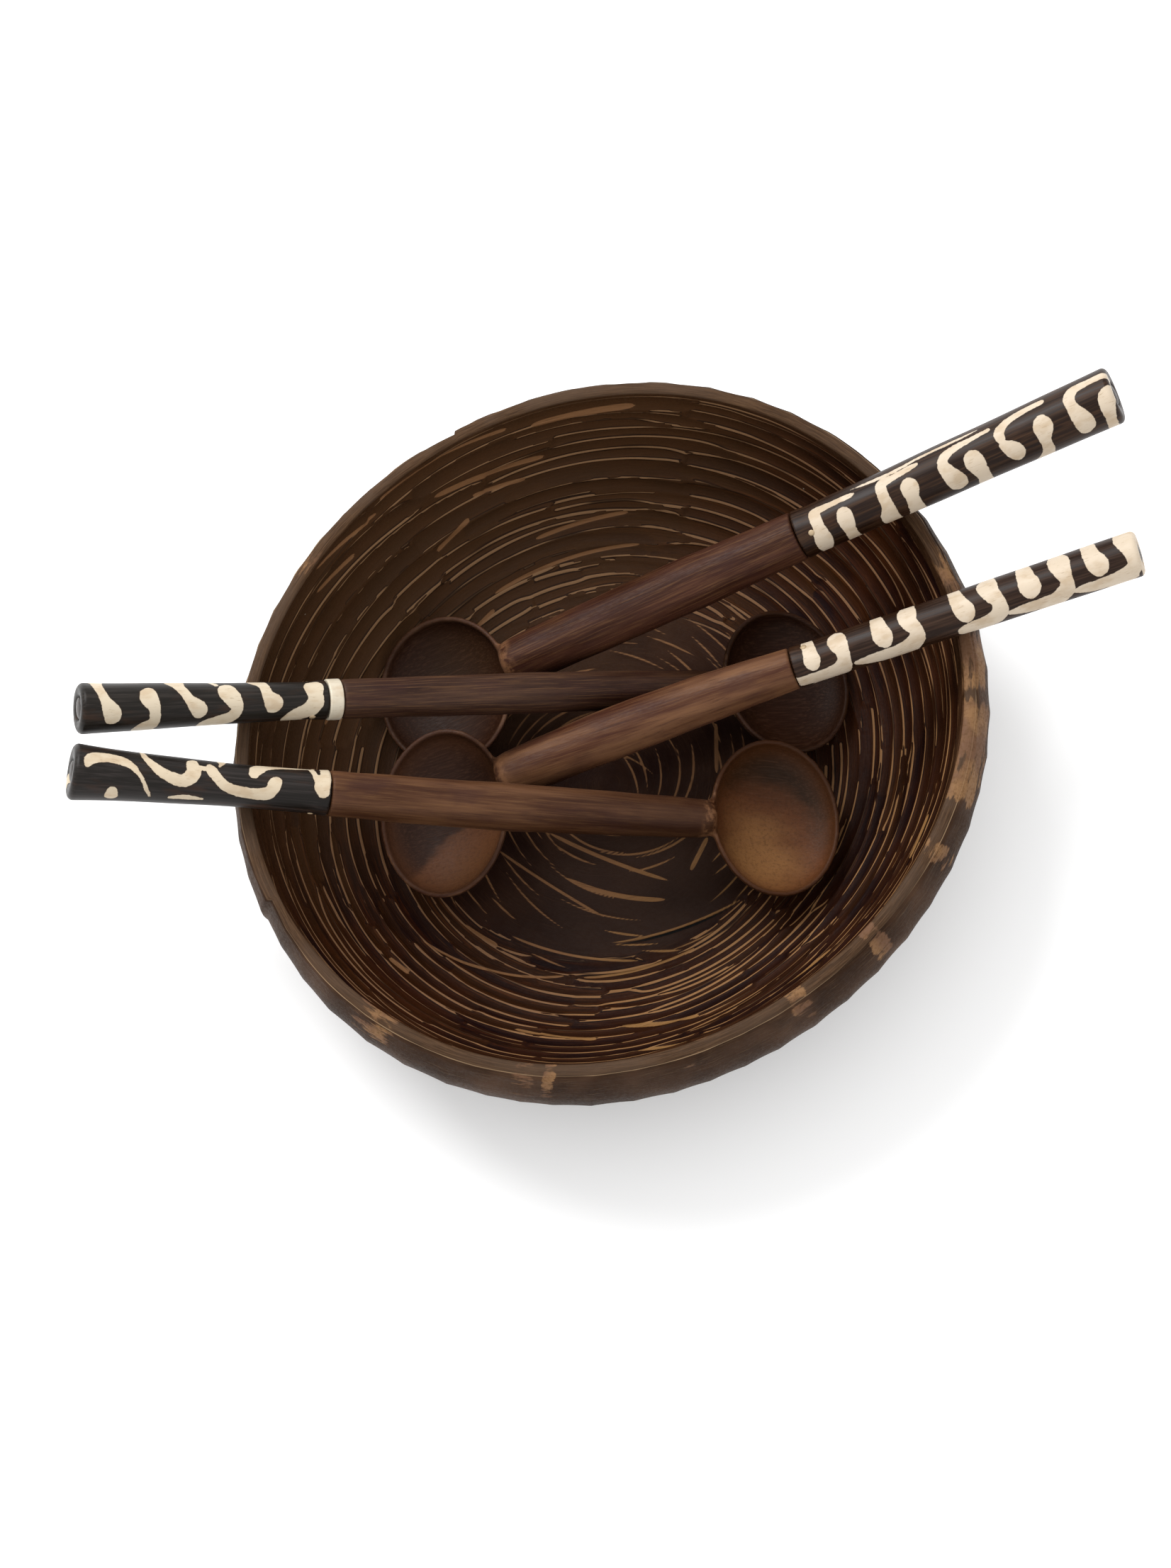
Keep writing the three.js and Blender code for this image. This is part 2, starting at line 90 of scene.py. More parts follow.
# The pale marks on each sleeve, as brush strokes: (along from the joint, angle round from the
# top, half width) at each turn of the stroke.
MARKS = {
    "spoon_far_right": [
        [(8, -112, 1.2), (9, -58, 3.5), (9.5, -20, 2.4), (9.5, 10, 2.4), (10.5, 19, 2), (17, 20, 1.3),
         (24, 20, 1.3), (26.5, 21, 0.5)],
        [(20, -120, 2.8), (20, -60, 2.4), (20.3, -25, 3.3), (20.5, -14, 2.6)],
        [(37, -120, 3), (36, -70, 3.6), (37, -45, 2.5), (37, -10, 2.2), (38, 12, 2.2), (43, 16, 1.5),
         (49, 20, 1.4), (53, 22, 0.9)],
        [(46, -120, 4.2), (46.6, -85, 3.2), (47, -45, 2.7), (47.6, -22, 3.6), (47.6, -14, 2.4)],
        [(65, -64, 2.6), (65, -52, 3.9), (62.5, -10, 2.2), (64, 8, 2), (69, 18, 1.6), (76, 22, 1.2),
         (83, 26, 0.9)],
        [(74, -120, 3.4), (75, -70, 2.6), (74, -28, 3.8), (74, -15, 2.4)],
        [(90, -56, 2.2), (89.6, -42, 3.5), (86.7, -22, 2)],
        [(86.4, -6, 1.9), (86.6, 8, 2), (91, 25, 1.7), (98, 33, 1.6), (105, 35, 1.5)],
        [(97, -120, 4), (101, -75, 2.4), (101.6, -45, 2.3), (102.7, -20, 3.8), (103, -8, 2.6)],
        [(117, -60, 2.8), (117.5, -46, 3.9), (115.5, -8, 2.3), (115.5, 12, 2.3), (118, 27, 2.2),
         (124, 30, 1.7), (131, 30, 1.7)],
        [(126, -120, 2.2), (127, -60, 2.1), (128.4, -20, 3.4), (130.5, -6, 2)],
        [(26, 37, 0.3), (33, 33, 0.8), (45, 32, 0.9), (55, 38, 0.8), (70, 39, 0.8), (79, 42, 0.3)],
    ],
    "spoon_far_left": [
        [(5.4, -34, 2.4), (5.6, -22, 3.8), (5.5, 0, 3), (5.5, 25, 3.2), (8, 50, 3.5), (12.5, 72, 3.9),
         (14, 95, 4.2), (12, 118, 3), (5, 126, 1.6), (-2, 130, 0.6)],
        [(27, -62, 3.4), (25, -35, 2.2), (23.8, 0, 2.3), (21.8, 22, 3.6), (22, 33, 2.8)],
        [(44.5, -62, 1), (43, -40, 0.9)],
        [(39, -24, 2.6), (39.2, -12, 3.7), (37, 12, 3.1), (36, 35, 2.3), (38, 60, 2.7), (43, 82, 4),
         (46, 98, 4.4), (40, 122, 2.6), (31, 130, 1.4), (22, 134, 0.4)],
        [(58.5, -58, 3.6), (57, -30, 2.2), (54, 5, 2), (50.7, 30, 3.2), (50.5, 42, 2.4)],
        [(69, -14, 2.5), (69.3, -2, 3.5), (67.4, 25, 2.2), (67.4, 60, 2.3), (70.5, 85, 3.8),
         (71, 100, 3.6), (64, 124, 2.4), (54, 132, 1)],
        [(88, -70, 2.8), (87.6, -35, 1.9), (85.8, 0, 1.9), (83.2, 32, 3.4), (83.4, 47, 2.4)],
    ],
    "spoon_near_right": [
        [(8, -28, 2), (8, -14, 3.2), (8, 10, 2.8), (7.3, 70, 2.2), (7.3, 118, 2), (10, 138, 1.2)],
        [(19, 58, 0.4), (19, 30, 3.5), (19.4, 10, 3.6), (20.2, -14, 2.7), (19.6, -42, 2.7),
         (17, -68, 4), (10, -73, 3.7), (4, -67, 2.9), (-1, -60, 2.1)],
        [(17, -72, 4.2), (12, -98, 4.4), (6, -116, 2.4)],
        [(37, -30, 2.2), (36.5, -12, 3.8), (36, 20, 3.1), (35.3, 70, 2.3), (35, 118, 2)],
        [(47.5, 110, 2.4), (48, 70, 2.8), (47.5, 30, 3.8), (47.5, 5, 3.3), (49.4, -25, 2.7),
         (48, -52, 3.5), (43, -72, 4.2), (36, -73, 3.6), (30, -67, 2.6), (24, -62, 1.2)],
        [(45, -76, 3.8), (42, -102, 3.8), (36, -122, 2)],
        [(69, -38, 1.8), (69, -18, 3.9), (67.5, 15, 3.1), (66.5, 70, 2.3), (66, 118, 2)],
        [(79, 110, 2.3), (80, 70, 2.5), (79.5, 35, 4), (80.2, 8, 3.5), (82, -20, 2.7), (81.5, -50, 3.2),
         (77, -71, 3.9), (71, -75, 3.8), (67, -76, 3.1)],
        [(72, -82, 3.4), (74, -106, 3.4), (70, -124, 1.8)],
        [(94.6, -28, 2.2), (95, -10, 4.2), (94.5, 18, 3.5), (94, 70, 2.6), (93.5, 118, 2)],
        [(106.5, 110, 2.4), (107, 70, 2.6), (107.6, 32, 4.2), (108, 5, 3.5), (108.6, -24, 2.5),
         (107.6, -48, 3.2), (103, -70, 3.8), (96, -72, 3.5), (90, -67, 2.5), (85, -63, 1.1)],
        [(104, -74, 3.6), (100, -100, 3.6), (94, -120, 1.8)],
        [(121.4, -28, 2.4), (121.5, -12, 4.1), (120, 18, 3.3), (119.4, 70, 2.7), (119, 118, 2)],
        [(133.5, 118, 3.4), (133, 60, 3.6), (133, 30, 3.7), (134.6, -8, 3), (134.4, -44, 3),
         (129, -68, 4), (121, -71, 3.5), (115, -66, 2.6), (111, -62, 1.2)],
        [(131, -76, 3.8), (127, -102, 3.6), (121, -122, 1.8)],
        [(137.6, -180, 1.6), (137.6, -90, 1.6), (137.6, 0, 1.3), (137.6, 90, 1.5), (137.6, 180, 1.6)],
    ],
    "spoon_near_left": [
        [(1.2, -110, 2.2), (1.6, -75, 2.2), (2.2, -30, 2.2), (3.6, -2, 3), (3, 14, 2.3)],
        [(8.5, -100, 1.4), (7.4, -66, 1.2), (6.4, -38, 1.1), (5, -14, 1.6)],
        [(7.6, -72, 1.4), (13, -70, 2), (20, -66, 2.3), (25.4, -55, 2.6), (28.4, -36, 2.6),
         (29.4, -21, 1.9)],
        [(21, -3, 2.2), (21.7, 6, 2.6), (22.4, 20, 2.4), (24.6, 33, 2.7), (29, 36, 2.4), (35, 32, 2.2),
         (40, 20, 1.9), (43.2, 0, 1.9), (45.3, -20, 2.2), (46, -36, 0.9)],
        [(40, -96, 2.6), (41, -72, 2), (41.5, -50, 1), (42.5, -33, 0.3)],
        [(52, -44, 1.4), (52.4, -33, 2.4), (52, -12, 2.7), (53.3, 5, 2.7), (56.4, 16, 2.4), (61, 8, 2.1),
         (65, -5, 1.9), (68.4, -25, 1.5), (70.5, -45, 1.1), (71, -75, 1), (70, -104, 2)],
        [(47.6, -24, 1.1), (49.4, -24, 1.1)],
        [(67.4, 65, 0.5), (69, 45, 0.8), (71, 20, 0.7), (73, 5, 0.9), (75, -8, 1.4), (79, -20, 2),
         (85, -24, 2.2), (90, -17, 2.4), (91.6, -2, 1.1)],
        [(81.5, 55, 2), (81.5, 70, 2.4)],
        [(48, 66, 0.6), (54, 62, 1.3), (60, 66, 0.7)],
    ],
}


# ---- Small helpers ----

def linear(code):
    """A colour written as in sRGB, 0xRRGGBB, as linear values with alpha."""
    parts = [(code >> shift & 255) / 255 for shift in (16, 8, 0)]
    return tuple(c / 12.92 if c <= 0.04045 else ((c + 0.055) / 1.055) ** 2.4 for c in parts) + (1,)


STUDIO = 0.62  # the studio is brighter than the light that the colours are judged in
MIRRORED = 0.002  # what the surface's own faint gloss adds to each channel there


def shaded(code):
    """A colour as it looks in the studio, as a base colour."""
    return tuple(max(c * STUDIO - MIRRORED, MIRRORED / 4) for c in linear(code)[:3]) + (1,)


def through_three(a, b, c, t):
    """The value at t of the parabola that passes through a, b and c at t = 0, 1/2 and 1."""
    return a + (4 * b - 3 * a - c) * t + 2 * (a + c - 2 * b) * t * t


def smooth_step(low, high, value):
    t = np.clip((value - low) / (high - low), 0, 1)
    return t * t * (3 - 2 * t)


def turn_between(a, b):
    """The signed angle in radians from b to a, within half a turn."""
    return (a - b + np.pi) % (2 * np.pi) - np.pi


def grid_quads(rows, columns, loop=False):
    """The quads of a grid of points that closes on itself along its columns, and in a loop along
    its rows too."""
    row = np.arange(rows if loop else rows - 1)[:, None]
    column = np.arange(columns)[None, :]
    start, end, after = row * columns, (row + 1) % rows * columns, (column + 1) % columns
    corners = [start + column, start + after, end + after, end + column]
    return np.stack(corners, -1).reshape(-1, 4)


def fan(centre, ring, flip):
    """Triangles from one point to a closed ring of points."""
    after = np.roll(ring, -1)
    order = [np.full(len(ring), centre), after, ring] if flip else [np.full(len(ring), centre), ring, after]
    return np.stack(order, -1)


def closed(grid):
    """Points, quads and end triangles of rings that close at both ends."""
    rows, columns = grid.shape[:2]
    ends = np.array([grid[0].mean(0), grid[-1].mean(0)])
    points = np.vstack([grid.reshape(-1, 3), ends])
    count = rows * columns
    first, last = np.arange(columns), np.arange(columns) + (rows - 1) * columns
    triangles = np.vstack([fan(count, first, True), fan(count + 1, last, False)])
    return points, grid_quads(rows, columns), triangles


def set_attributes(mesh, attributes):
    """Gives a mesh values for its vertices, one number or one vector for each."""
    for key, values in attributes.items():
        kind, field = ("FLOAT_VECTOR", "vector") if values.ndim == 2 else ("FLOAT", "value")
        made = mesh.attributes.new(key, kind, "POINT")
        made.data.foreach_set(field, values.astype(np.float32).ravel())


def make_mesh(name, points, quads, triangles, attributes):
    """A smooth-shaded mesh from arrays. Points are in millimetres."""
    mesh = bpy.data.meshes.new(name)
    mesh.vertices.add(len(points))
    mesh.vertices.foreach_set("co", (points * MM).astype(np.float32).ravel())
    loops = np.concatenate([np.asarray(quads).ravel(), np.asarray(triangles).ravel()]).astype(np.int32)
    sizes = np.concatenate([np.full(len(quads), 4), np.full(len(triangles), 3)])
    starts = np.concatenate([[0], np.cumsum(sizes)[:-1]]).astype(np.int32)
    mesh.loops.add(len(loops))
    mesh.loops.foreach_set("vertex_index", loops)
    mesh.polygons.add(len(sizes))
    mesh.polygons.foreach_set("loop_start", starts)
    mesh.polygons.foreach_set("use_smooth", np.ones(len(sizes), bool))
    mesh.update(calc_edges=True)
    set_attributes(mesh, attributes)
    return mesh


def place(name, mesh, material, matrix, body, nodes):
    """Adds a piece to the scene: where it is, what it moves with and what it stands for."""
    made = bpy.data.objects.new(name, mesh)
    bpy.context.scene.collection.objects.link(made)
    made.matrix_world = matrix
    made.data.materials.clear()
    made.data.materials.append(material)
    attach(made, body)
    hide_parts(*nodes)
    return made


def lathe(profile, sides, shape=None):
    """Rings of points of a body turned about X, one for each (along, radius) of the profile.
    Shape, where given, returns the rings changed."""
    profile = np.array(profile, float)
    angle = np.arange(sides) / sides * 2 * np.pi
    x = np.repeat(profile[:, :1], sides, 1)
    radius = np.repeat(profile[:, 1:], sides, 1)
    grid = np.stack([x, radius * np.sin(angle), radius * np.cos(angle)], -1)
    if shape is not None:
        grid = shape(grid, angle)
    return grid


# ---- Carving: overlapping gouge cuts, each deeper in its middle ----

RIDGE_FAR = 4.0  # a ridge further off than this makes no difference


class Cuts:
    """The deepest cut at each point of a surface, and how much deeper it is than the next."""

    def __init__(self, shape, skin=0.0):
        self.depth = np.full(shape, skin)
        self.second = np.full(shape, skin - 1)
        self.tone = np.full(shape, 0.5)

    def add(self, window, depth, tone):
        best, second = self.depth[window], self.second[window]
        deeper = depth > best
        self.second[window] = np.where(deeper, best, np.maximum(second, depth))
        self.tone[window] = np.where(deeper, tone, self.tone[window])
        self.depth[window] = np.where(deeper, depth, best)

    def from_ridge(self, row_step, column_step):
        """Distance of each point from the nearest ridge between two cuts, at most RIDGE_FAR."""
        edge = self.depth - self.second
        up = np.abs(np.gradient(edge, axis=0) / row_step)
        round_ = np.abs(np.gradient(edge, axis=1) / column_step)
        steep = np.hypot(up, round_)
        for axis in (0, 1):
            steep = np.maximum(steep, np.maximum(np.roll(steep, 1, axis), np.roll(steep, -1, axis)))
        away = np.clip(edge / np.maximum(steep, 0.12) - 0.12, 0, RIDGE_FAR)
        away = np.where((round_ > 0.7 * up + 0.05) | (steep < 0.28), RIDGE_FAR, away)
        for _ in range(2):  # ridges run along the rows, so evening out along them keeps them sharp
            away = away / 2 + (np.roll(away, 1, 1) + np.roll(away, -1, 1)) / 4
        return away


def gouge(along, across, length, depth, radius, taper=14.0, stop=0.6):
    """Depth of one gouge cut: it starts gently at one end and stops short at the other."""
    start = np.clip(1 - (along + length / 2) / taper, 0, None)
    past = np.clip(along - length / 2, 0, None)
    return depth - across**2 / (2 * radius) - depth * start**2 - past * stop


# ---- Bowl ----

SIDES = 900
OUTER_ROWS, RIM_ROWS, TOP_ROWS = 60, 14, 10
WALL_ROWS = 250
FLOOR_ROWS = 130
WALL_LENGTH = 106  # up the inner wall, from the floor to the rim
OUTER_LENGTH = 106  # up the outside, from the foot to the rim
STREAK = 7  # how many times longer than wide the marks in the wood are
OFF = -3.0  # how far inside a stroke a point counts as that is well outside it


def bowl_grid():
    """Rows of points of the bowl's skin, from under the foot round to the middle of the floor."""
    angle = np.arange(SIDES) / SIDES * 2 * np.pi
    widest = (
        MEAN_RADIUS
        + OVAL_STRETCH * np.cos(2 * (angle - math.radians(OVAL_ANGLE)))
        + EGG * np.cos(angle - math.radians(EGG_ANGLE))
    )
    share = widest / MEAN_RADIUS
    foot, floor = FOOT_RADIUS * share, FLOOR_RADIUS * share
    inset = RIM_INSET + RIM_INSET_SWING * np.cos(angle - math.radians(RIM_INSET_ANGLE))
    rim_outer = widest - inset
    rim_inner = rim_outer - RIM_WIDTH
    low = BOWL_HEIGHT - RIM_DEPTH
    rows, kind = [], []

    def row(radius, z, name):
        rows.append((radius, np.broadcast_to(z, radius.shape)))
        kind.append(name)

    for t in (0.02, 0.3, 0.6, 0.9, 0.97):
        row(foot * t, 0.0, "under")
    for t in np.linspace(0, np.pi / 2, OUTER_ROWS):
        row(foot + (widest - foot) * np.sin(t), low * (1 - np.cos(t)), "outer")
    for t in np.linspace(0, 1, RIM_ROWS + 1)[1:]:
        row(widest - inset * t**2, low + RIM_DEPTH * t, "slope")
    for t in np.linspace(0, 1, TOP_ROWS + 1)[1:]:
        row(rim_outer - RIM_WIDTH * t, float(BOWL_HEIGHT), "top")
    for t in np.linspace(np.pi / 2, 0, WALL_ROWS + 1)[1:]:
        row(floor + (rim_inner - floor) * np.sin(t),
            BOWL_HEIGHT - (BOWL_HEIGHT - FLOOR_THICKNESS) * np.cos(t), "wall")
    for t in np.linspace(1, 0.012, FLOOR_ROWS)[1:]:
        row(floor * t, FLOOR_THICKNESS - FLOOR_DISH * (1 - t**2), "floor")
    radius = np.array([r for r, _ in rows])
    height = np.array([z for _, z in rows])
    return angle, radius, height, np.array(kind)


def into_wood(radius, height):
    """Unit direction into the wood at each point of the section, as (outwards, up)."""
    along_r, along_z = np.gradient(radius, axis=0), np.gradient(height, axis=0)
    size = np.hypot(along_r, along_z) + 1e-9
    return -along_z / size, along_r / size


# Parts of the inner wall: from and to angle, spacing of the rows of cuts as seen from above,
# radius of the gouge, and the share of the full quarter turn from which the rows widen no more.
WALL_PARTS = (
    (72, 205, 6.4, 13.0, 0.62),
    (196, 292, 5.3, 7.0, 0.3),
    (280, 335, 5.2, 6.2, 0.5),
    (324, 438, 4.9, 7.0, 0.66),
)
WALL_PLAN = 112.0  # a radius halfway up the wall, for lengths round it
UNCUT = -9.0  # the depth of a row of cuts where it doesn't reach, well outside the skin


def wall_row(random, angle, up, part, level):
    """One row of long gouge cuts round a part of the inner wall, as Cuts over the rows of up."""
    first, last, _, gouge_radius, _ = part
    row = Cuts((len(up), len(angle)), UNCUT)
    at = math.radians(first + random.uniform(-9, 9))
    while at < math.radians(last):
        length = random.uniform(55, 130)
        middle = at + length / 2 / WALL_PLAN
        jitter, slope = random.uniform(-0.9, 0.9), random.uniform(-0.04, 0.055)
        depth, tone = random.uniform(0.7, 1.1), random.uniform(0, 1)
        bow = random.uniform(-0.0004, 0.0012)
        round_ = turn_between(angle, middle) * WALL_PLAN
        columns = np.where(np.abs(round_) < length / 2 + 4)[0]
        along = np.broadcast_to(round_[None, columns], (len(up), len(columns)))
        across = up[:, None] - level - jitter - slope * along + bow * along**2
        cut = gouge(along, across, length, depth, gouge_radius)
        row.add(np.ix_(np.arange(len(up)), columns), cut, tone)
        at += (length - random.uniform(2, 9)) / WALL_PLAN
    return row


def wall_cuts(random, angle, up):
    """The rows of gouge cuts of the whole inner wall. up is the distance from the floor."""
    cuts = Cuts((len(up), len(angle)))
    for part in WALL_PARTS:
        level = -3.0
        while level < WALL_LENGTH + 2:
            rows = np.where(np.abs(up - level) < 14)[0]
            row = wall_row(random, angle, up[rows], part, level)
            cuts.add(np.ix_(rows, np.arange(len(angle))), row.depth, row.tone)
            steep = math.cos(math.pi / 2 * min(max(level, 0) / WALL_LENGTH, part[4]))
            level += part[2] / steep * random.uniform(0.82, 1.18)
    return cuts


# Flat strokes of paler wood, blunt at their ends.
# On the wall: angle and height where each starts, angle and height where it ends, half width.
WALL_FLATS = (
    (134, 102, 120, 100, 1.2), (121, 100, 108, 96, 1.0), (104, 93, 86, 95, 1.5),
    (124, 79, 102, 73, 1.3), (117, 68, 106, 65, 0.8), (150, 99, 135, 93, 0.8),
    (152, 87, 142, 83, 0.9), (128, 54, 119, 59, 1.0), (107, 37, 86, 41, 0.8),
    (121, 23, 83, 27, 0.7), (131, 15, 123, 17, 0.8), (250, 41, 267, 45, 1.0),
    (272, 37, 289, 46, 1.1), (274, 61, 285, 67, 0.8), (222, 23, 257, 7, 0.5),
    (262, 7, 296, 6, 0.5), (221, 42, 226, 40, 1.0), (339, 78, 348, 78, 0.8),
    (300, 62, 318, 66, 0.8), (306, 84, 322, 88, 0.8), (160, 46, 171, 49, 0.7),
)
# On the floor: start x and y, end x and y, bend, half width.
FLOOR_FLATS = (
    (41, -72, 64, -48, 0.1, 1.3), (-18, -40, 22, -49, 0.12, 0.9),
    (-25, -21, 23, -41, 0.05, 0.7), (32, -37, 39, -23, 0.0, 0.8),
    (-59, -59, -45, -68, 0.05, 0.9), (43, 25, 43, 4, 0.0, 0.7),
    (-46, -28, -3, -56, 0.03, 0.45), (-40, -64, 11, -74, 0.12, 0.4),
    (0, -67, 52, -49, 0.1, 0.3),
)
CRACK = (0, -68, 52, -50, 0.1, 0.6)


def stroke_place(stroke):
    """The middle, half length and heading of a stroke drawn on the plan."""
    from_x, from_y, to_x, to_y = stroke[:4]
    run, rise = to_x - from_x, to_y - from_y
    return ((from_x + to_x) / 2, (from_y + to_y) / 2), math.hypot(run, rise) / 2, math.atan2(rise, run)


def plan_stroke(x, y, stroke, taper):
    """How far inside a stroke drawn on the plan each point is, and where it is across and along."""
    (middle_x, middle_y), half_length, heading = stroke_place(stroke)
    bend, half = stroke[4:]
    dx, dy = x - middle_x, y - middle_y
    along = (dx * math.cos(heading) + dy * math.sin(heading)) / half_length
    across = -dx * math.sin(heading) + dy * math.cos(heading)
    across = across + bend * half_length * (1 - along**2)
    width = half * (1 - np.abs(along) ** taper)
    return np.where(np.abs(along) < 1, width - np.abs(across), OFF), across, along


def wall_strokes(angle, radius, up):
    """How far inside the wall's flat strokes each point is."""
    inside = np.full(radius.shape, OFF)
    for from_angle, from_up, to_angle, to_up, half in WALL_FLATS:
        middle = math.radians((from_angle + to_angle) / 2)
        level = np.abs(up - (from_up + to_up) / 2)
        at = radius[np.argmin(level)].mean()
        reach = abs(math.radians(to_angle - from_angle)) / 2 * at
        rise = (to_up - from_up) / 2 * math.copysign(1, to_angle - from_angle)
        columns = np.where(np.abs(turn_between(angle, middle)) * at < reach + 3)[0]
        x = np.broadcast_to(turn_between(angle, middle)[columns] * at, (len(up), len(columns)))
        y = (up - (from_up + to_up) / 2)[:, None]
        stroke = (-reach, -rise, reach, rise, 0.02, half)
        window = np.ix_(np.arange(len(up)), columns)
        inside[window] = np.maximum(inside[window], plan_stroke(x, y, stroke, 14)[0])
    return inside


RING_SPACING, STROKE_SPACING = 5.0, 34  # between the rings of floor strokes, and along each ring
STROKE_APART = 9  # at least this far from the middles of the larger strokes


def floor_strokes(random, x, y):
    """Thin strokes that swirl over the floor: how far inside one each point is, and their relief."""
    inside, relief = np.full(x.shape, OFF), np.zeros_like(x)
    strokes = [(stroke, 8) for stroke in FLOOR_FLATS]
    drawn_middles = [stroke_place(stroke)[0] for stroke in FLOOR_FLATS]
    for ring in np.arange(8, FLOOR_RADIUS + 8, RING_SPACING):
        count = max(3, int(2 * np.pi * ring / STROKE_SPACING))
        for k in range(count):
            at = (k + random.uniform(-0.4, 0.4)) / count * 2 * np.pi
            heading = at + math.pi / 2 + math.radians(random.uniform(-16, 0))
            half = random.uniform(7, 18)
            middle = ring * math.cos(at), ring * math.sin(at)
            if min(math.dist(middle, other) for other in drawn_middles) < STROKE_APART:
                continue
            step = half * math.cos(heading), half * math.sin(heading)
            stroke = (middle[0] - step[0], middle[1] - step[1], middle[0] + step[0], middle[1] + step[1],
                      0.4 * half / max(ring, 24), random.uniform(0.24, 0.38))
            strokes.append((stroke, 2))
    for stroke, taper in strokes:
        middle, half, _ = stroke_place(stroke)
        near = np.hypot(x - middle[0], y - middle[1]) < half + 6
        drawn, across, along = plan_stroke(x[near], y[near], stroke, taper)
        inside[near] = np.maximum(inside[near], drawn)
        fade = np.clip(1 - along**2, 0, 1)
        trough = 0.32 * np.exp(-(((across - 2) / 1.5) ** 2)) - 0.2 * np.exp(-((across / 0.6) ** 2))
        relief[near] += trough * fade
    return inside, relief


FACET_LEVELS = (14, 48, 82)  # up the outside
FACET_LENGTH, FACET_GOUGE = 46, 75.0
FACET_REACH = 26  # no facet reaches further round than this to each side


def outer_cuts(random, angle, up):
    """Depth of broad upright facets on the outside."""
    cuts = Cuts((len(up), len(angle)))
    for level in FACET_LEVELS:
        at = random.uniform(0, 0.2)
        end = at + 2 * np.pi
        while at < end:
            width = random.uniform(11, 19)
            across = turn_between(angle, at) * MEAN_RADIUS
            along = up[:, None] - level - random.uniform(-6, 6)
            tilt = random.uniform(-0.08, 0.08)
            columns = np.where(np.abs(across) < FACET_REACH)[0]
            window = np.ix_(np.arange(len(up)), columns)
            side = across[None, columns] - tilt * along
            depth = gouge(along, side, FACET_LENGTH, random.uniform(0.4, 0.55), FACET_GOUGE, 16, 0.2)
            cuts.add(window, depth, random.uniform(0, 1))
            at += width / MEAN_RADIUS
    return cuts.depth


RIM_STEPS = ((207.6, 1.7, 9), (117, 1.4, 7))  # angle, depth and run-out of each step in the rim
RIM_CROWN = 0.9  # how much lower the edges of the rim's top are than its middle
# places on the rim where the dye has worn off: angle, half span, strength
RIM_PATCHES = (
    (26, 5, 0.5), (11, 5, 0.9), (-1, 6, 1.0), (-8, 5, 1.0), (-22, 2, 0.6), (-40, 2, 0.9), (-57, 2, 0.5),
    (-75, 4, 0.3), (-100, 1, 0.75), (-104, 2, 0.5), (-128, 4, 0.6), (150, 4, 0.3), (97, 5, 0.3),
    (190, 5, 0.3),
)


def rim_hand_cut(random, angle):
    """How far in the rim's outline is cut at each angle: short flats, and two steps."""
    inset = np.zeros_like(angle)
    at = 0.0
    while at < 2 * np.pi:
        half = math.radians(random.uniform(3, 5.5))
        middle = at + half
        away = turn_between(angle, middle)
        flat = MEAN_RADIUS * (1 - math.cos(half) / np.cos(away))
        inset = np.where(np.abs(away) <= half, np.maximum(inset, 0.25 * flat), inset)
        at += 2 * half
    for where, depth, run in RIM_STEPS:
        away = turn_between(angle, math.radians(where))
        inset = inset + np.where(away > 0, depth * np.exp(-away / math.radians(run)), 0)
    return inset


# the bowl's attributes, and what each is where nothing sets it
UNSET = {
    "edge": RIDGE_FAR, "tone": 0.5, "flats": OFF, "crack": OFF, "floor": 0.0, "band": 0.0,
    "crest": 0.0, "skin": 0.0, "bare": 0.0,
}


class BowlGrid:
    """The bowl's skin before it is carved, and its attributes."""

    def __init__(self):
        self.angle, self.radius, self.height, kind = bowl_grid()
        self.cos, self.sin = np.cos(self.angle), np.sin(self.angle)
        self.inner = np.where((kind == "wall") | (kind == "floor"))[0]
        self.side = np.where((kind == "outer") | (kind == "slope"))[0]
        self.top = np.where(kind == "top")[0]
        wall_up = np.linspace(1, 0, WALL_ROWS + 1)[1:] * WALL_LENGTH
        floor_up = (np.linspace(1, 0.012, FLOOR_ROWS)[1:] - 1) * FLOOR_RADIUS
        self.up = np.concatenate([wall_up, floor_up])  # up from the floor's edge, below 0 on the floor
        self.outer_up = np.linspace(0, OUTER_LENGTH, len(self.side))
        self.share = np.linspace(0, 1, TOP_ROWS + 1)[1:]  # across the rim's top, inwards
        self.values = {key: np.full_like(self.radius, value) for key, value in UNSET.items()}


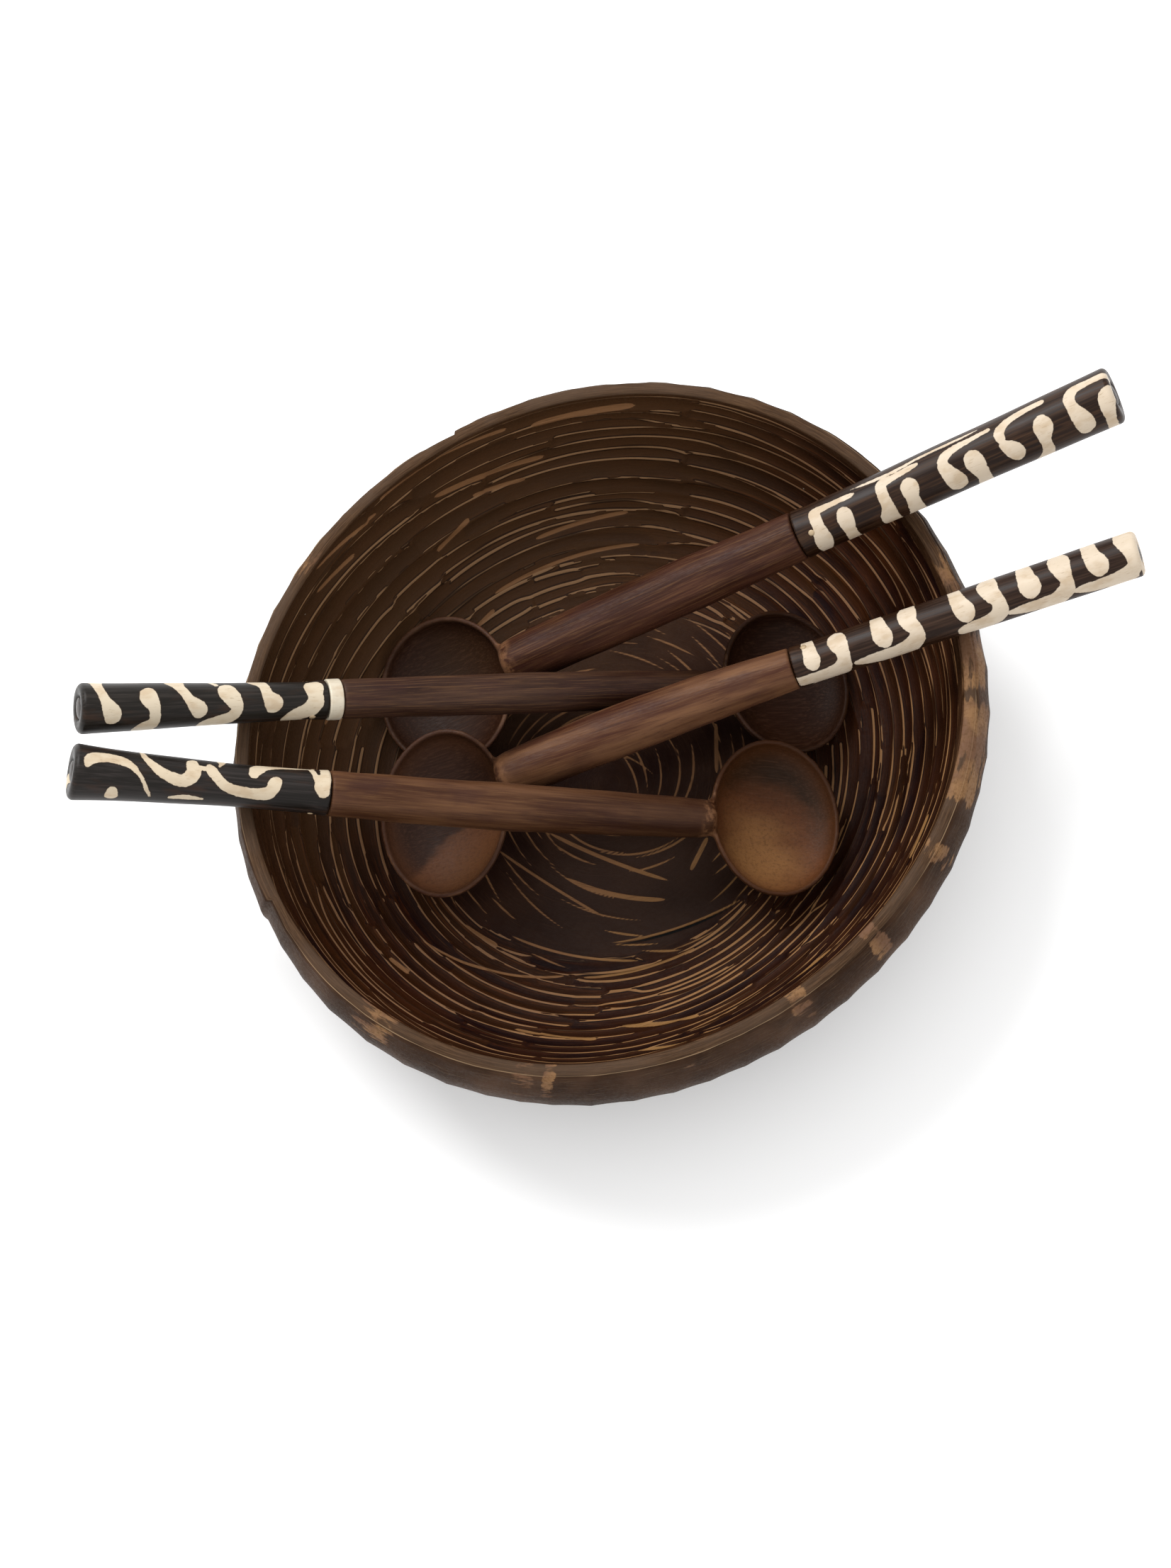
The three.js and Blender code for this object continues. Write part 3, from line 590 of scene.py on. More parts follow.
def carve_inside(random, bowl):
    """How deep each point of the inside is carved. Sets the inside's attributes."""
    rows, up, values = bowl.inner, bowl.up[:, None], bowl.values
    radius = bowl.radius[rows]
    x, y = radius * bowl.cos, radius * bowl.sin
    cuts = wall_cuts(random, bowl.angle, bowl.up)
    strokes, scratched = floor_strokes(random, x, y)
    on_floor = 1 - smooth_step(0, 14, up)
    strokes = np.maximum(strokes - 2 * (1 - on_floor), wall_strokes(bowl.angle, radius, bowl.up))
    crack = plan_stroke(x, y, CRACK, 2)[0]
    # the wall is left smooth just under the rim, in a wider band on the right
    band = 4 + 9 * np.exp(-(turn_between(bowl.angle, math.radians(4)) / 0.62) ** 2)
    cut = 1 - smooth_step(0, 2.5, up - (WALL_LENGTH - band))
    on_wall = smooth_step(-8, 5, up)

    row_step = np.hypot(np.gradient(bowl.radius, axis=0), np.gradient(bowl.height, axis=0)) + 1e-3
    ridges = cuts.from_ridge(row_step[rows], radius * 2 * np.pi / SIDES + 1e-3)
    values["edge"][rows] = np.where((cut > 0.5) & (on_wall > 0.3), ridges, RIDGE_FAR)
    values["tone"][rows], values["band"][rows] = cuts.tone, 1 - cut
    values["flats"][rows], values["crack"][rows] = strokes, crack
    values["floor"][rows] = 1 - smooth_step(-6, 4, up)

    depth = np.clip(cuts.depth * on_wall + scratched * on_floor, 0, None) * cut
    depth += 0.25 * smooth_step(-0.4, 0.2, strokes) * smooth_step(-6, 4, up)
    return depth + 0.8 * smooth_step(-0.3, 0.3, crack)


def carve_outside(random, bowl):
    """How deep each point of the outside is carved. Sets the outside's attribute."""
    bowl.values["skin"][: bowl.side[-1] + 1] = 1
    return outer_cuts(random, bowl.angle, bowl.outer_up) * smooth_step(0, 10, bowl.outer_up)[:, None]


def shape_rim(random, bowl):
    """How far inwards and how far down each point of the rim is worked."""
    angle, side = bowl.angle, bowl.side
    inwards = np.zeros_like(bowl.height)
    # the rim's flats cut the outline down to a little below the widest line
    inwards[side] = smooth_step(BOWL_HEIGHT - 34, BOWL_HEIGHT - 6, bowl.height[side])
    inwards[bowl.top] = 1 - bowl.share[:, None]
    inwards *= rim_hand_cut(random, angle)

    wave = 0.35 * np.sin(3 * angle + 1) + 0.3 * np.sin(7 * angle + 2) + 0.15 * np.sin(17 * angle)
    dip = 0.5 * (0.8 + wave - min(wave.min(), 0))
    down = dip * smooth_step(BOWL_HEIGHT - 16, BOWL_HEIGHT, bowl.height)
    # the top is crowned: its two edges are lower than its middle
    down[bowl.top] += RIM_CROWN * np.abs(2 * bowl.share[:, None] - 1) ** 3
    down[[side[-1], bowl.inner[0]]] += RIM_CROWN
    return inwards, down


def bare_rim(bowl):
    """Sets the rim's attributes: its crest, and where its dye has worn off."""
    bowl.values["crest"][bowl.top] = 1
    bare = np.zeros_like(bowl.angle)
    for where, half, strength in RIM_PATCHES:
        away = np.abs(np.degrees(turn_between(bowl.angle, math.radians(where))))
        bare = np.maximum(bare, strength * (1 - smooth_step(half * 0.6, half * 1.3, away)))
    bare = bare * smooth_step(BOWL_HEIGHT - 15, BOWL_HEIGHT - 5, bowl.height)
    bare[bowl.inner] *= 0.6 * smooth_step(WALL_LENGTH - 9, WALL_LENGTH - 2, bowl.up)[:, None]
    bowl.values["bare"] = bare


def streak_places(bowl):
    """Coordinates over the skin that are shrunk along the cuts, so that marks come out long."""
    places = np.stack([bowl.radius * bowl.cos / STREAK, bowl.radius * bowl.sin / STREAK,
                       np.zeros_like(bowl.radius)], -1)
    places[bowl.inner, :, 2] = bowl.up[:, None]
    places[bowl.top, :, 2] = WALL_LENGTH + (1 - bowl.share[:, None]) * RIM_WIDTH
    places[bowl.side, :, 2] = WALL_LENGTH + RIM_WIDTH + OUTER_LENGTH - bowl.outer_up[:, None]
    return places


def bowl_mesh():
    random = np.random.default_rng(SEED)
    bowl = BowlGrid()
    carved = np.zeros_like(bowl.radius)
    carved[bowl.inner] = carve_inside(random, bowl)
    carved[bowl.side] = carve_outside(random, bowl)
    inwards, down = shape_rim(random, bowl)
    bare_rim(bowl)
    out, upwards = into_wood(bowl.radius, bowl.height)
    radius = bowl.radius + out * carved - inwards
    height = bowl.height + upwards * carved - down
    points, quads, ends = closed(np.stack([radius * bowl.cos, radius * bowl.sin, height], -1))
    attributes = {key: np.append(v, [v[0].mean(), v[-1].mean()]) for key, v in bowl.values.items()}
    streak = streak_places(bowl)
    attributes["streak"] = np.vstack([streak.reshape(-1, 3), streak[0, :1], streak[-1, :1]])
    return make_mesh("bowl_carved", points, quads, ends, attributes)


# ---- Spoon pieces, in the spoon's own frame: +X up the handle, +Z up ----

def sleeve_start(spoon):
    return spoon["reach"] + CLEARANCE + (COLLAR_WIDTH + CLEARANCE if spoon["collar"] else 0)


def spoon_frame(name, spoon):
    """The matrix of a spoon's own frame, found from its packed pin and end plug."""
    def corners(part):
        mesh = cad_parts[f"{name}_{part}"].data
        return np.unique(np.round([v.co[:] for v in mesh.vertices], 6), axis=0)

    pin, plug = corners("pin"), corners("end_plug")
    # the middle of the pin and the middle of the plug's rings are both on the axis
    pin_middle = (pin.min(0) + pin.max(0)) / 2
    rough = plug.mean(0) - pin_middle
    rough /= np.linalg.norm(rough)
    far = plug @ rough
    back = plug[far < far.min() + 1.5 * MM]
    axis = back.mean(0) - pin_middle
    axis /= np.linalg.norm(axis)
    start = (sleeve_start(spoon) + PIN_FROM_JOINT) * MM
    origin = pin_middle - axis * start
    side = np.cross([0, 0, 1], axis)
    side /= np.linalg.norm(side)
    up = np.cross(axis, side)
    matrix = Matrix.Identity(4)
    for k, column in enumerate((axis, side, up, origin)):
        for j in range(3):
            matrix[j][k] = column[j]
    return matrix


def bow_at(spoon, x):
    neck = spoon["head"][0] / 2
    t = np.clip((spoon["reach"] - x) / (spoon["reach"] - neck), 0, None)
    return spoon["shaft"][3] * t * t


def wobble(random, value, waves, size):
    """A seeded sum of sines, between 0 and size."""
    total = np.zeros_like(value)
    for period in waves:
        total = total + np.sin(2 * np.pi * value / period + random.uniform(0, 2 * np.pi))
    return size * (0.5 + total / (2 * len(waves)))


HEAD_SIDES, HEAD_ROWS = 128, 40
SHAFT_SIDES = 64


def head_grid(spoon):
    """Rings of the head: its underside from the bottom up, over the lip and down the hollow."""
    length, width, turn, offset = spoon["head"]
    angle = np.arange(HEAD_SIDES) / HEAD_SIDES * 2 * np.pi
    rings = []
    turn = math.radians(turn)

    def ring(a, b, z, share):
        x, y = a * share * np.cos(angle), b * share * np.sin(angle)
        rings.append(np.stack([
            x * math.cos(turn) - y * math.sin(turn),
            x * math.sin(turn) + y * math.cos(turn) + offset,
            np.broadcast_to(z + HEAD_RISE, angle.shape),
        ], -1))

    steps = np.linspace(0.03, np.pi / 2, HEAD_ROWS)
    for t in steps:
        ring(length / 2, width / 2, -HEAD_DEPTH * math.cos(t), math.sin(t))
    inner_a, inner_b = length / 2 - HEAD_LIP, width / 2 - HEAD_LIP
    for t in (0.33, 0.66):
        drop = -0.15 * abs(2 * t - 1)
        ring(length / 2 - HEAD_LIP * t, width / 2 - HEAD_LIP * t, drop, 1)
    for t in steps[::-1]:
        ring(inner_a, inner_b, -(HEAD_DEPTH - HEAD_WALL) * math.cos(t), math.sin(t))
    return np.array(rings)


def shaft_grid(spoon, random):
    """Rings of the shaft and tang, with a rounded blunt end towards the head."""
    neck, middle, joint, _ = spoon["shaft"]
    start = spoon["head"][0] / 2 - SHAFT_OVERLAP
    reach = spoon["reach"]
    profile = [(start, 0.2)]
    for x in np.concatenate([start + np.array([0.3, 0.8, 1.6, 2.6, 4, 5.5, 7.5]),
                             np.arange(start + 10, reach - 1, 2.5)]):
        t = (x - start) / (reach - start)
        rounding = math.sqrt(max(0.0, 1 - max(0.0, 1 - (x - start) / 7.5) ** 2.6))
        profile.append((x, through_three(neck, middle, joint, t) * (0.6 + 0.4 * rounding)
                        if x - start > 0.5 else neck * 0.6))
    profile += [(reach - 0.5, joint), (reach, joint - 0.4), (reach, TANG_RADIUS)]
    end = reach + TANG_LENGTH
    profile += [(x, TANG_RADIUS) for x in np.arange(reach + 2, end - 2, 3.0)]
    profile += [(end - TANG_CHAMFER, TANG_RADIUS), (end, TANG_RADIUS - TANG_CHAMFER), (end, 0.1)]

    def shape(grid, angle):
        x = grid[..., 0]
        body = (x < reach).astype(float) * smooth_step(0, 12, reach - x) * smooth_step(2, 12, x - start)
        dent = wobble(random, x + 3 * np.sin(angle)[None, :], (37, 61, 23), 0.35)
        flats = 0.28 * (1 - np.abs(np.cos(angle * 3.5 + x / 46)))
        scale = 1 - body * (dent + flats) / np.maximum(np.hypot(grid[..., 1], grid[..., 2]), 1)
        grid[..., 1] = grid[..., 1] * scale + bow_at(spoon, x)
        grid[..., 2] = grid[..., 2] * scale
        return grid

    return lathe(profile, SHAFT_SIDES, shape)


VOXEL = 0.7


def remeshed(points, quads, triangles):
    """One skin round bodies that overlap, as vertices in millimetres, edges and faces."""
    mesh = make_mesh("rough", points, quads, triangles, {})
    rough = bpy.data.objects.new("rough", mesh)
    bpy.context.scene.collection.objects.link(rough)
    made = rough.modifiers.new("skin", "REMESH")
    made.mode = "VOXEL"
    made.voxel_size = VOXEL * MM
    made.adaptivity = 0
    bpy.context.view_layer.update()
    depsgraph = bpy.context.evaluated_depsgraph_get()
    skin = bpy.data.meshes.new_from_object(rough.evaluated_get(depsgraph))
    bpy.data.objects.remove(rough)
    return skin


def relax(skin, weights_at, rounds):
    """Moves each vertex towards the middle of its neighbours, by its own weight."""
    count = len(skin.vertices)
    points = np.empty(count * 3, np.float32)
    skin.vertices.foreach_get("co", points)
    points = points.reshape(-1, 3).astype(float) / MM
    edges = np.empty(len(skin.edges) * 2, np.int32)
    skin.edges.foreach_get("vertices", edges)
    a, b = edges.reshape(-1, 2).T
    degree = np.bincount(a, minlength=count) + np.bincount(b, minlength=count)
    weight = weights_at(points)
    for number in range(rounds):
        total = np.zeros_like(points)
        for k in range(3):
            total[:, k] = np.bincount(a, points[b, k], count) + np.bincount(b, points[a, k], count)
        step = 0.5 * np.clip(weight - number, 0, 1)[:, None]
        points += step * (total / degree[:, None] - points)
    skin.vertices.foreach_set("co", (points * MM).astype(np.float32).ravel())
    skin.update()
    return points


RELAX_ALL, RELAX_NECK, RELAX_TANG = 4, 26, 1  # rounds of smoothing


def wood_attributes(spoon, neck, at):
    """Where each point is on the head, and whether it is in the hollow, on the lip or at the neck."""
    length, width, turn, offset = spoon["head"]
    turn = math.radians(turn)
    x, y, z = at[:, 0], at[:, 1] - offset, at[:, 2] - HEAD_RISE
    u = (x * math.cos(turn) + y * math.sin(turn)) / (length / 2)
    v = (-x * math.sin(turn) + y * math.cos(turn)) / (width / 2)
    out = np.hypot(u, v)
    top = smooth_step(-2.2, -0.6, z)
    bottom = -(HEAD_DEPTH - HEAD_WALL * 0.5) * np.sqrt(np.clip(1 - (out / 0.97) ** 2, 0, 1))
    hollow = ((z > bottom) & (out < 0.96)).astype(float)
    lip = (1 - smooth_step(0.02, 0.075, np.abs(out - 0.975))) * top * (x < length / 2 + 1)
    worn = (1 - smooth_step(1, 5, np.abs(x - neck[0]))) * smooth_step(-6, -1, at[:, 2])
    return {"hollow": hollow, "lip": lip, "worn": worn, "head_u": u, "head_v": v}


def wood_mesh(name, spoon):
    random = np.random.default_rng(SEED + len(name))
    head, shaft = closed(head_grid(spoon)), closed(shaft_grid(spoon, random))
    base = len(head[0])
    skin = remeshed(np.vstack([head[0], shaft[0]]), np.vstack([head[1], shaft[1] + base]),
                    np.vstack([head[2], shaft[2] + base]))
    half_length = spoon["head"][0] / 2
    neck = np.array([half_length + 1.0, bow_at(spoon, half_length), 0])

    def weights(where):
        near = 1 - smooth_step(5, 13, np.linalg.norm((where - neck) / [1, 1.25, 1], axis=1))
        past = smooth_step(-3, 0, where[:, 0] - spoon["reach"])
        rounds = RELAX_ALL + (RELAX_NECK - RELAX_ALL) * near
        return rounds * (1 - past) + RELAX_TANG * past

    moved = relax(skin, weights, RELAX_NECK)
    skin.polygons.foreach_set("use_smooth", np.ones(len(skin.polygons), bool))
    skin.name = f"{name}_wood_carved"
    set_attributes(skin, wood_attributes(spoon, neck, moved))
    return skin


def curve_samples(stroke, step=0.6):
    """Points along a smooth curve through a stroke's points, each with its half width."""
    points = np.array(stroke, float)
    ends = np.vstack([2 * points[0] - points[1], points, 2 * points[-1] - points[-2]])
    samples = []
    for k in range(len(points) - 1):
        a, b, c, d = ends[k: k + 4]
        rough = math.hypot(c[0] - b[0], (c[1] - b[1]) * 0.16)
        for t in np.linspace(0, 1, max(2, int(rough / step) + 1)):
            samples.append(0.5 * (2 * b + (c - a) * t + (2 * a - 5 * b + 4 * c - d) * t**2
                                  + (3 * b - a - 3 * c + d) * t**3))
    made = np.array(samples)
    made[:, 2] = np.clip(made[:, 2], 0.2, None)
    return made


def mark_distance(strokes, along, degrees, radius):
    """How far inside the pale marks each point is, in millimetres; negative outside them."""
    inside = np.full(along.shape, OFF)
    for stroke in strokes:
        samples = curve_samples(stroke)
        low, high = samples[:, 0].min() - 6, samples[:, 0].max() + 6
        rows = np.where((along[:, 0] > low) & (along[:, 0] < high))[0]
        if not len(rows):
            continue
        piece = inside[rows]
        for x, turn, width in samples:
            round_ = ((degrees[rows] - turn + 180) % 360 - 180) * (np.pi / 180) * radius[rows]
            piece = np.maximum(piece, width - np.hypot(along[rows] - x, round_))
        inside[rows] = piece
    return inside


SLEEVE_SIDES = 144
SLEEVE_STEP = 0.55
BORE_ROWS = 12
BACK_SHIFT = 9.0  # the marks on the unseen side are the same ones, moved along by this much


def sleeve_profile(spoon):
    """The sleeve's outline from inside its near end, over the outside and back down the bore."""
    length, joint, middle, end = spoon["sleeve"]
    bore = TANG_RADIUS + CLEARANCE
    round_start = length - SLEEVE_EDGE
    profile = [(0.9, bore), (0.05, bore + 0.5), (0, bore + 1.2), (0, joint - 0.9), (0.08, joint - 0.4)]
    for x in np.arange(0.5, round_start, SLEEVE_STEP):
        profile.append((x, through_three(joint, middle, end, x / length)))
    edge = through_three(joint, middle, end, round_start / length)
    for t in np.linspace(0.1, np.pi / 2, 9):
        profile.append((round_start + SLEEVE_EDGE * math.sin(t), edge - SLEEVE_EDGE * (1 - math.cos(t))))
    profile += [(length - 0.1, bore + 1.2), (length - 0.4, bore + 0.35), (length - 1.2, bore)]
    return profile + [(x, bore) for x in np.linspace(length - 8, 3, BORE_ROWS)]


def sleeve_marks(name, length, along, degrees, radius):
    """How far inside the pale marks each point of the sleeve's outside is."""
    seen = MARKS[name]
    hidden = [[(x + BACK_SHIFT, turn + 180, width) for x, turn, width in s]
              for s in seen if abs(np.mean([p[1] for p in s])) < 45 and s[0][0] + BACK_SHIFT < length - 6]
    front = mark_distance(seen, along, degrees, radius)
    behind = mark_distance(hidden, along, degrees, radius)
    far_side = smooth_step(108, 128, np.abs(degrees))
    return np.maximum(front, behind + (far_side - 1) * 6)


def sleeve_mesh(name, spoon):
    random = np.random.default_rng(SEED + 7 * len(name))
    length = spoon["sleeve"][0]
    bore = TANG_RADIUS + CLEARANCE
    profile = sleeve_profile(spoon)
    phase = random.uniform(0, 2 * np.pi, 3)

    def shape(grid, angle):
        """An uneven, not quite round outside, cut off a little aslant at its free end."""
        x = grid[..., 0]
        radius = np.hypot(grid[..., 1], grid[..., 2])
        outside = smooth_step(bore + 1, bore + 2.5, radius)
        uneven = 0.35 * (1 + np.cos(2 * angle + phase[0])) / 2 + 0.2 * (1 + np.cos(3 * angle + phase[1])) / 2
        uneven = uneven + wobble(random, x + 4 * np.cos(angle + phase[2]), (41, 67), 0.22)
        scale = 1 - outside * uneven * smooth_step(0, 8, x) / np.maximum(radius, 1)
        grid[..., 1:] *= scale[..., None]
        slant = 0.9 * (1 - np.cos(angle - 2.2)) / 2
        grid[..., 0] = x - slant[None, :] * smooth_step(length - 9, length, x)
        return grid

    grid = lathe(profile, SLEEVE_SIDES, shape)
    along = grid[..., 0]
    angle = np.degrees(np.arange(SLEEVE_SIDES) / SLEEVE_SIDES * 2 * np.pi)
    degrees = np.broadcast_to((angle + 180) % 360 - 180, along.shape)
    radius = np.array([r for _, r in profile])[:, None] + 0 * along
    outer = slice(3, len(grid) - BORE_ROWS)
    inside, shown = np.full(along.shape, OFF), np.zeros(along.shape)
    inside[outer] = sleeve_marks(name, length, along[outer], degrees[outer], radius[outer])
    shown[outer] = 1
    return tube_mesh(f"{name}_sleeve_carved", grid + [sleeve_start(spoon), 0, 0],
                     {"marks": inside.ravel(), "outside": shown.ravel()})


def tube_mesh(name, grid, attributes):
    """A mesh of rings that go over the outside and back through the bore to the first one."""
    quads = grid_quads(*grid.shape[:2], loop=True)
    return make_mesh(name, grid.reshape(-1, 3), quads, np.zeros((0, 3), int), attributes)


def turned_mesh(name, profile, sides):
    points, quads, triangles = closed(lathe(profile, sides))
    return make_mesh(name, points, quads, triangles, {})


PLUG_SIDES, PIN_SIDES = 40, 24


def plug_mesh(name, spoon):
    end = sleeve_start(spoon) + spoon["sleeve"][0]
    profile = [(end - PLUG_LENGTH, 0.5), (end - PLUG_LENGTH, TANG_RADIUS - 0.3)]
    profile += [(end - PLUG_LENGTH + 0.3, TANG_RADIUS), (end - 1.3, TANG_RADIUS)]
    for t in np.linspace(0.15, np.pi / 2, 10):
        profile.append((end - 1.3 + (PLUG_DOME + 0.3) * math.sin(t), TANG_RADIUS * math.cos(t) + 0.05))
    return turned_mesh(f"{name}_end_plug_turned", profile, PLUG_SIDES)


def pin_mesh(name, spoon):
    x = PIN_FROM_JOINT
    length, joint, middle, end = spoon["sleeve"]
    half = through_three(joint, middle, end, x / length) - 0.02
    profile = [(-half, 0.1), (-half + 0.05, 0.6), (-half + 0.25, PIN_RADIUS), (0, PIN_RADIUS)]
    profile += [(half - 0.25, PIN_RADIUS), (half - 0.05, 0.6), (half, 0.1)]
    mesh = turned_mesh(f"{name}_pin_turned", profile, PIN_SIDES)
    upright = Matrix.Rotation(-math.pi / 2, 4, "Y")
    turned = Matrix.Rotation(math.radians(spoon["pin"]), 4, "X")
    moved = Matrix.Translation(((sleeve_start(spoon) + x) * MM, 0, 0))
    mesh.transform(moved @ turned @ upright)
    return mesh


COLLAR_SIDES, COLLAR_ROUND = 96, 0.6


def collar_mesh(name, spoon):
    start = spoon["reach"] + CLEARANCE
    bore = TANG_RADIUS + CLEARANCE
    outer = spoon["sleeve"][1] + COLLAR_PROUD
    low, near, far = outer - COLLAR_ROUND, COLLAR_ROUND, COLLAR_WIDTH - COLLAR_ROUND
    profile = [(0, bore), (0, low)]
    for t in np.linspace(0, np.pi / 2, 6)[1:]:
        profile.append((near - COLLAR_ROUND * math.cos(t), low + COLLAR_ROUND * math.sin(t)))
    profile += [(1.6, outer - 0.02), (2.7, outer), (3.8, outer - 0.02)]
    for t in np.linspace(0, np.pi / 2, 6):
        profile.append((far + COLLAR_ROUND * math.sin(t), low + COLLAR_ROUND * math.cos(t)))
    profile += [(COLLAR_WIDTH, bore), (COLLAR_WIDTH / 2, bore)]
    return tube_mesh(f"{name}_collar_turned", lathe(profile, COLLAR_SIDES) + [start, 0, 0], {})


# ---- Materials ----

class Shader:
    """A material whose nodes are made by short calls. Sockets or plain values may be passed."""

    def __init__(self, name):
        self.material = bpy.data.materials.new(name)
        self.material.use_nodes = True
        self.tree = self.material.node_tree
        self.surface = self.tree.nodes["Principled BSDF"]

    def node(self, kind, inputs=None, **settings):
        made = self.tree.nodes.new(kind)
        for key, value in settings.items():
            setattr(made, key, value)
        for key, value in (inputs or {}).items():
            self.feed(made.inputs[key], value)
        return made

    def feed(self, socket, value):
        if isinstance(value, bpy.types.NodeSocket):
            self.tree.links.new(value, socket)
        else:
            socket.default_value = value

    def set(self, key, value):
        self.feed(self.surface.inputs[key], value)

    def attribute(self, name, output="Fac"):
        return self.node("ShaderNodeAttribute", attribute_name=name).outputs[output]

    def place(self, sizes, vector=None):
        """Coordinates in which a pattern's features have these sizes, in millimetres."""
        if vector is None:
            vector = self.node("ShaderNodeTexCoord").outputs["Object"]
            sizes = [s * MM for s in sizes]
        scale = [1 / s for s in sizes]
        return self.node("ShaderNodeMapping", {"Vector": vector, "Scale": scale}).outputs[0]

    def noise(self, sizes, vector=None, detail=3.0, rough=0.55, twist=0.0):
        inputs = {"Vector": self.place(sizes, vector), "Scale": 1.0, "Detail": detail,
                  "Roughness": rough, "Distortion": twist}
        return self.node("ShaderNodeTexNoise", inputs).outputs[0]

    def math(self, kind, a, b=0.0, clamp=False):
        made = self.node("ShaderNodeMath", {0: a, 1: b}, operation=kind)
        made.use_clamp = clamp
        return made.outputs[0]

    def times(self, a, b):
        return self.math("MULTIPLY", a, b)

    def plus(self, a, b):
        return self.math("ADD", a, b)

    def minus(self, a, b, clamp=False):
        return self.math("SUBTRACT", a, b, clamp)

    def range(self, value, low, high, out_low=0.0, out_high=1.0):
        inputs = {"Value": value, "From Min": low, "From Max": high, "To Min": out_low, "To Max": out_high}
        made = self.node("ShaderNodeMapRange", inputs, interpolation_type="SMOOTHSTEP")
        return made.outputs[0]

    def mix(self, factor, a, b):
        made = self.node("ShaderNodeMix", data_type="RGBA")
        self.feed(made.inputs[0], factor)
        for socket, value in ((made.inputs[6], a), (made.inputs[7], b)):
            self.feed(socket, shaded(value) if isinstance(value, int) else value)
        return made.outputs[2]

    def tint(self, colour, other, value, low, high, most=1.0):
        """The colour, turned into the other by up to most as the value goes from low to high."""
        return self.mix(self.range(value, low, high, 0.0, most), colour, other)

    def specks(self, spacing, size):
        """Sparse dots, 1 in each dot and 0 elsewhere."""
        inputs = {"Vector": self.place([spacing] * 3), "Scale": 1.0, "Randomness": 1.0}
        dots = self.node("ShaderNodeTexVoronoi", inputs)
        return self.math("LESS_THAN", dots.outputs["Distance"], size / spacing)

    def finish(self, colour, roughness, specular, height, distance):
        """The material. Its bump is distance millimetres high where height goes from 0 to 1."""
        self.set("Base Color", colour)
        self.set("Roughness", roughness)
        self.set("Specular IOR Level", specular)
        inputs = {"Height": height, "Distance": distance * MM, "Strength": 1.0}
        self.set("Normal", self.node("ShaderNodeBump", inputs).outputs[0])
        return self.material


GOLDEN_SIDE = (6.4, -7.7, 0)  # towards the golden side, and 1 for each 0.1 m from the middle
# the greyer part of the floor is a painted sheen
PAINTED_SHEEN_PLACE = (0.008, -0.052, 0.012)  # the middle of the greyer part of the floor, in metres


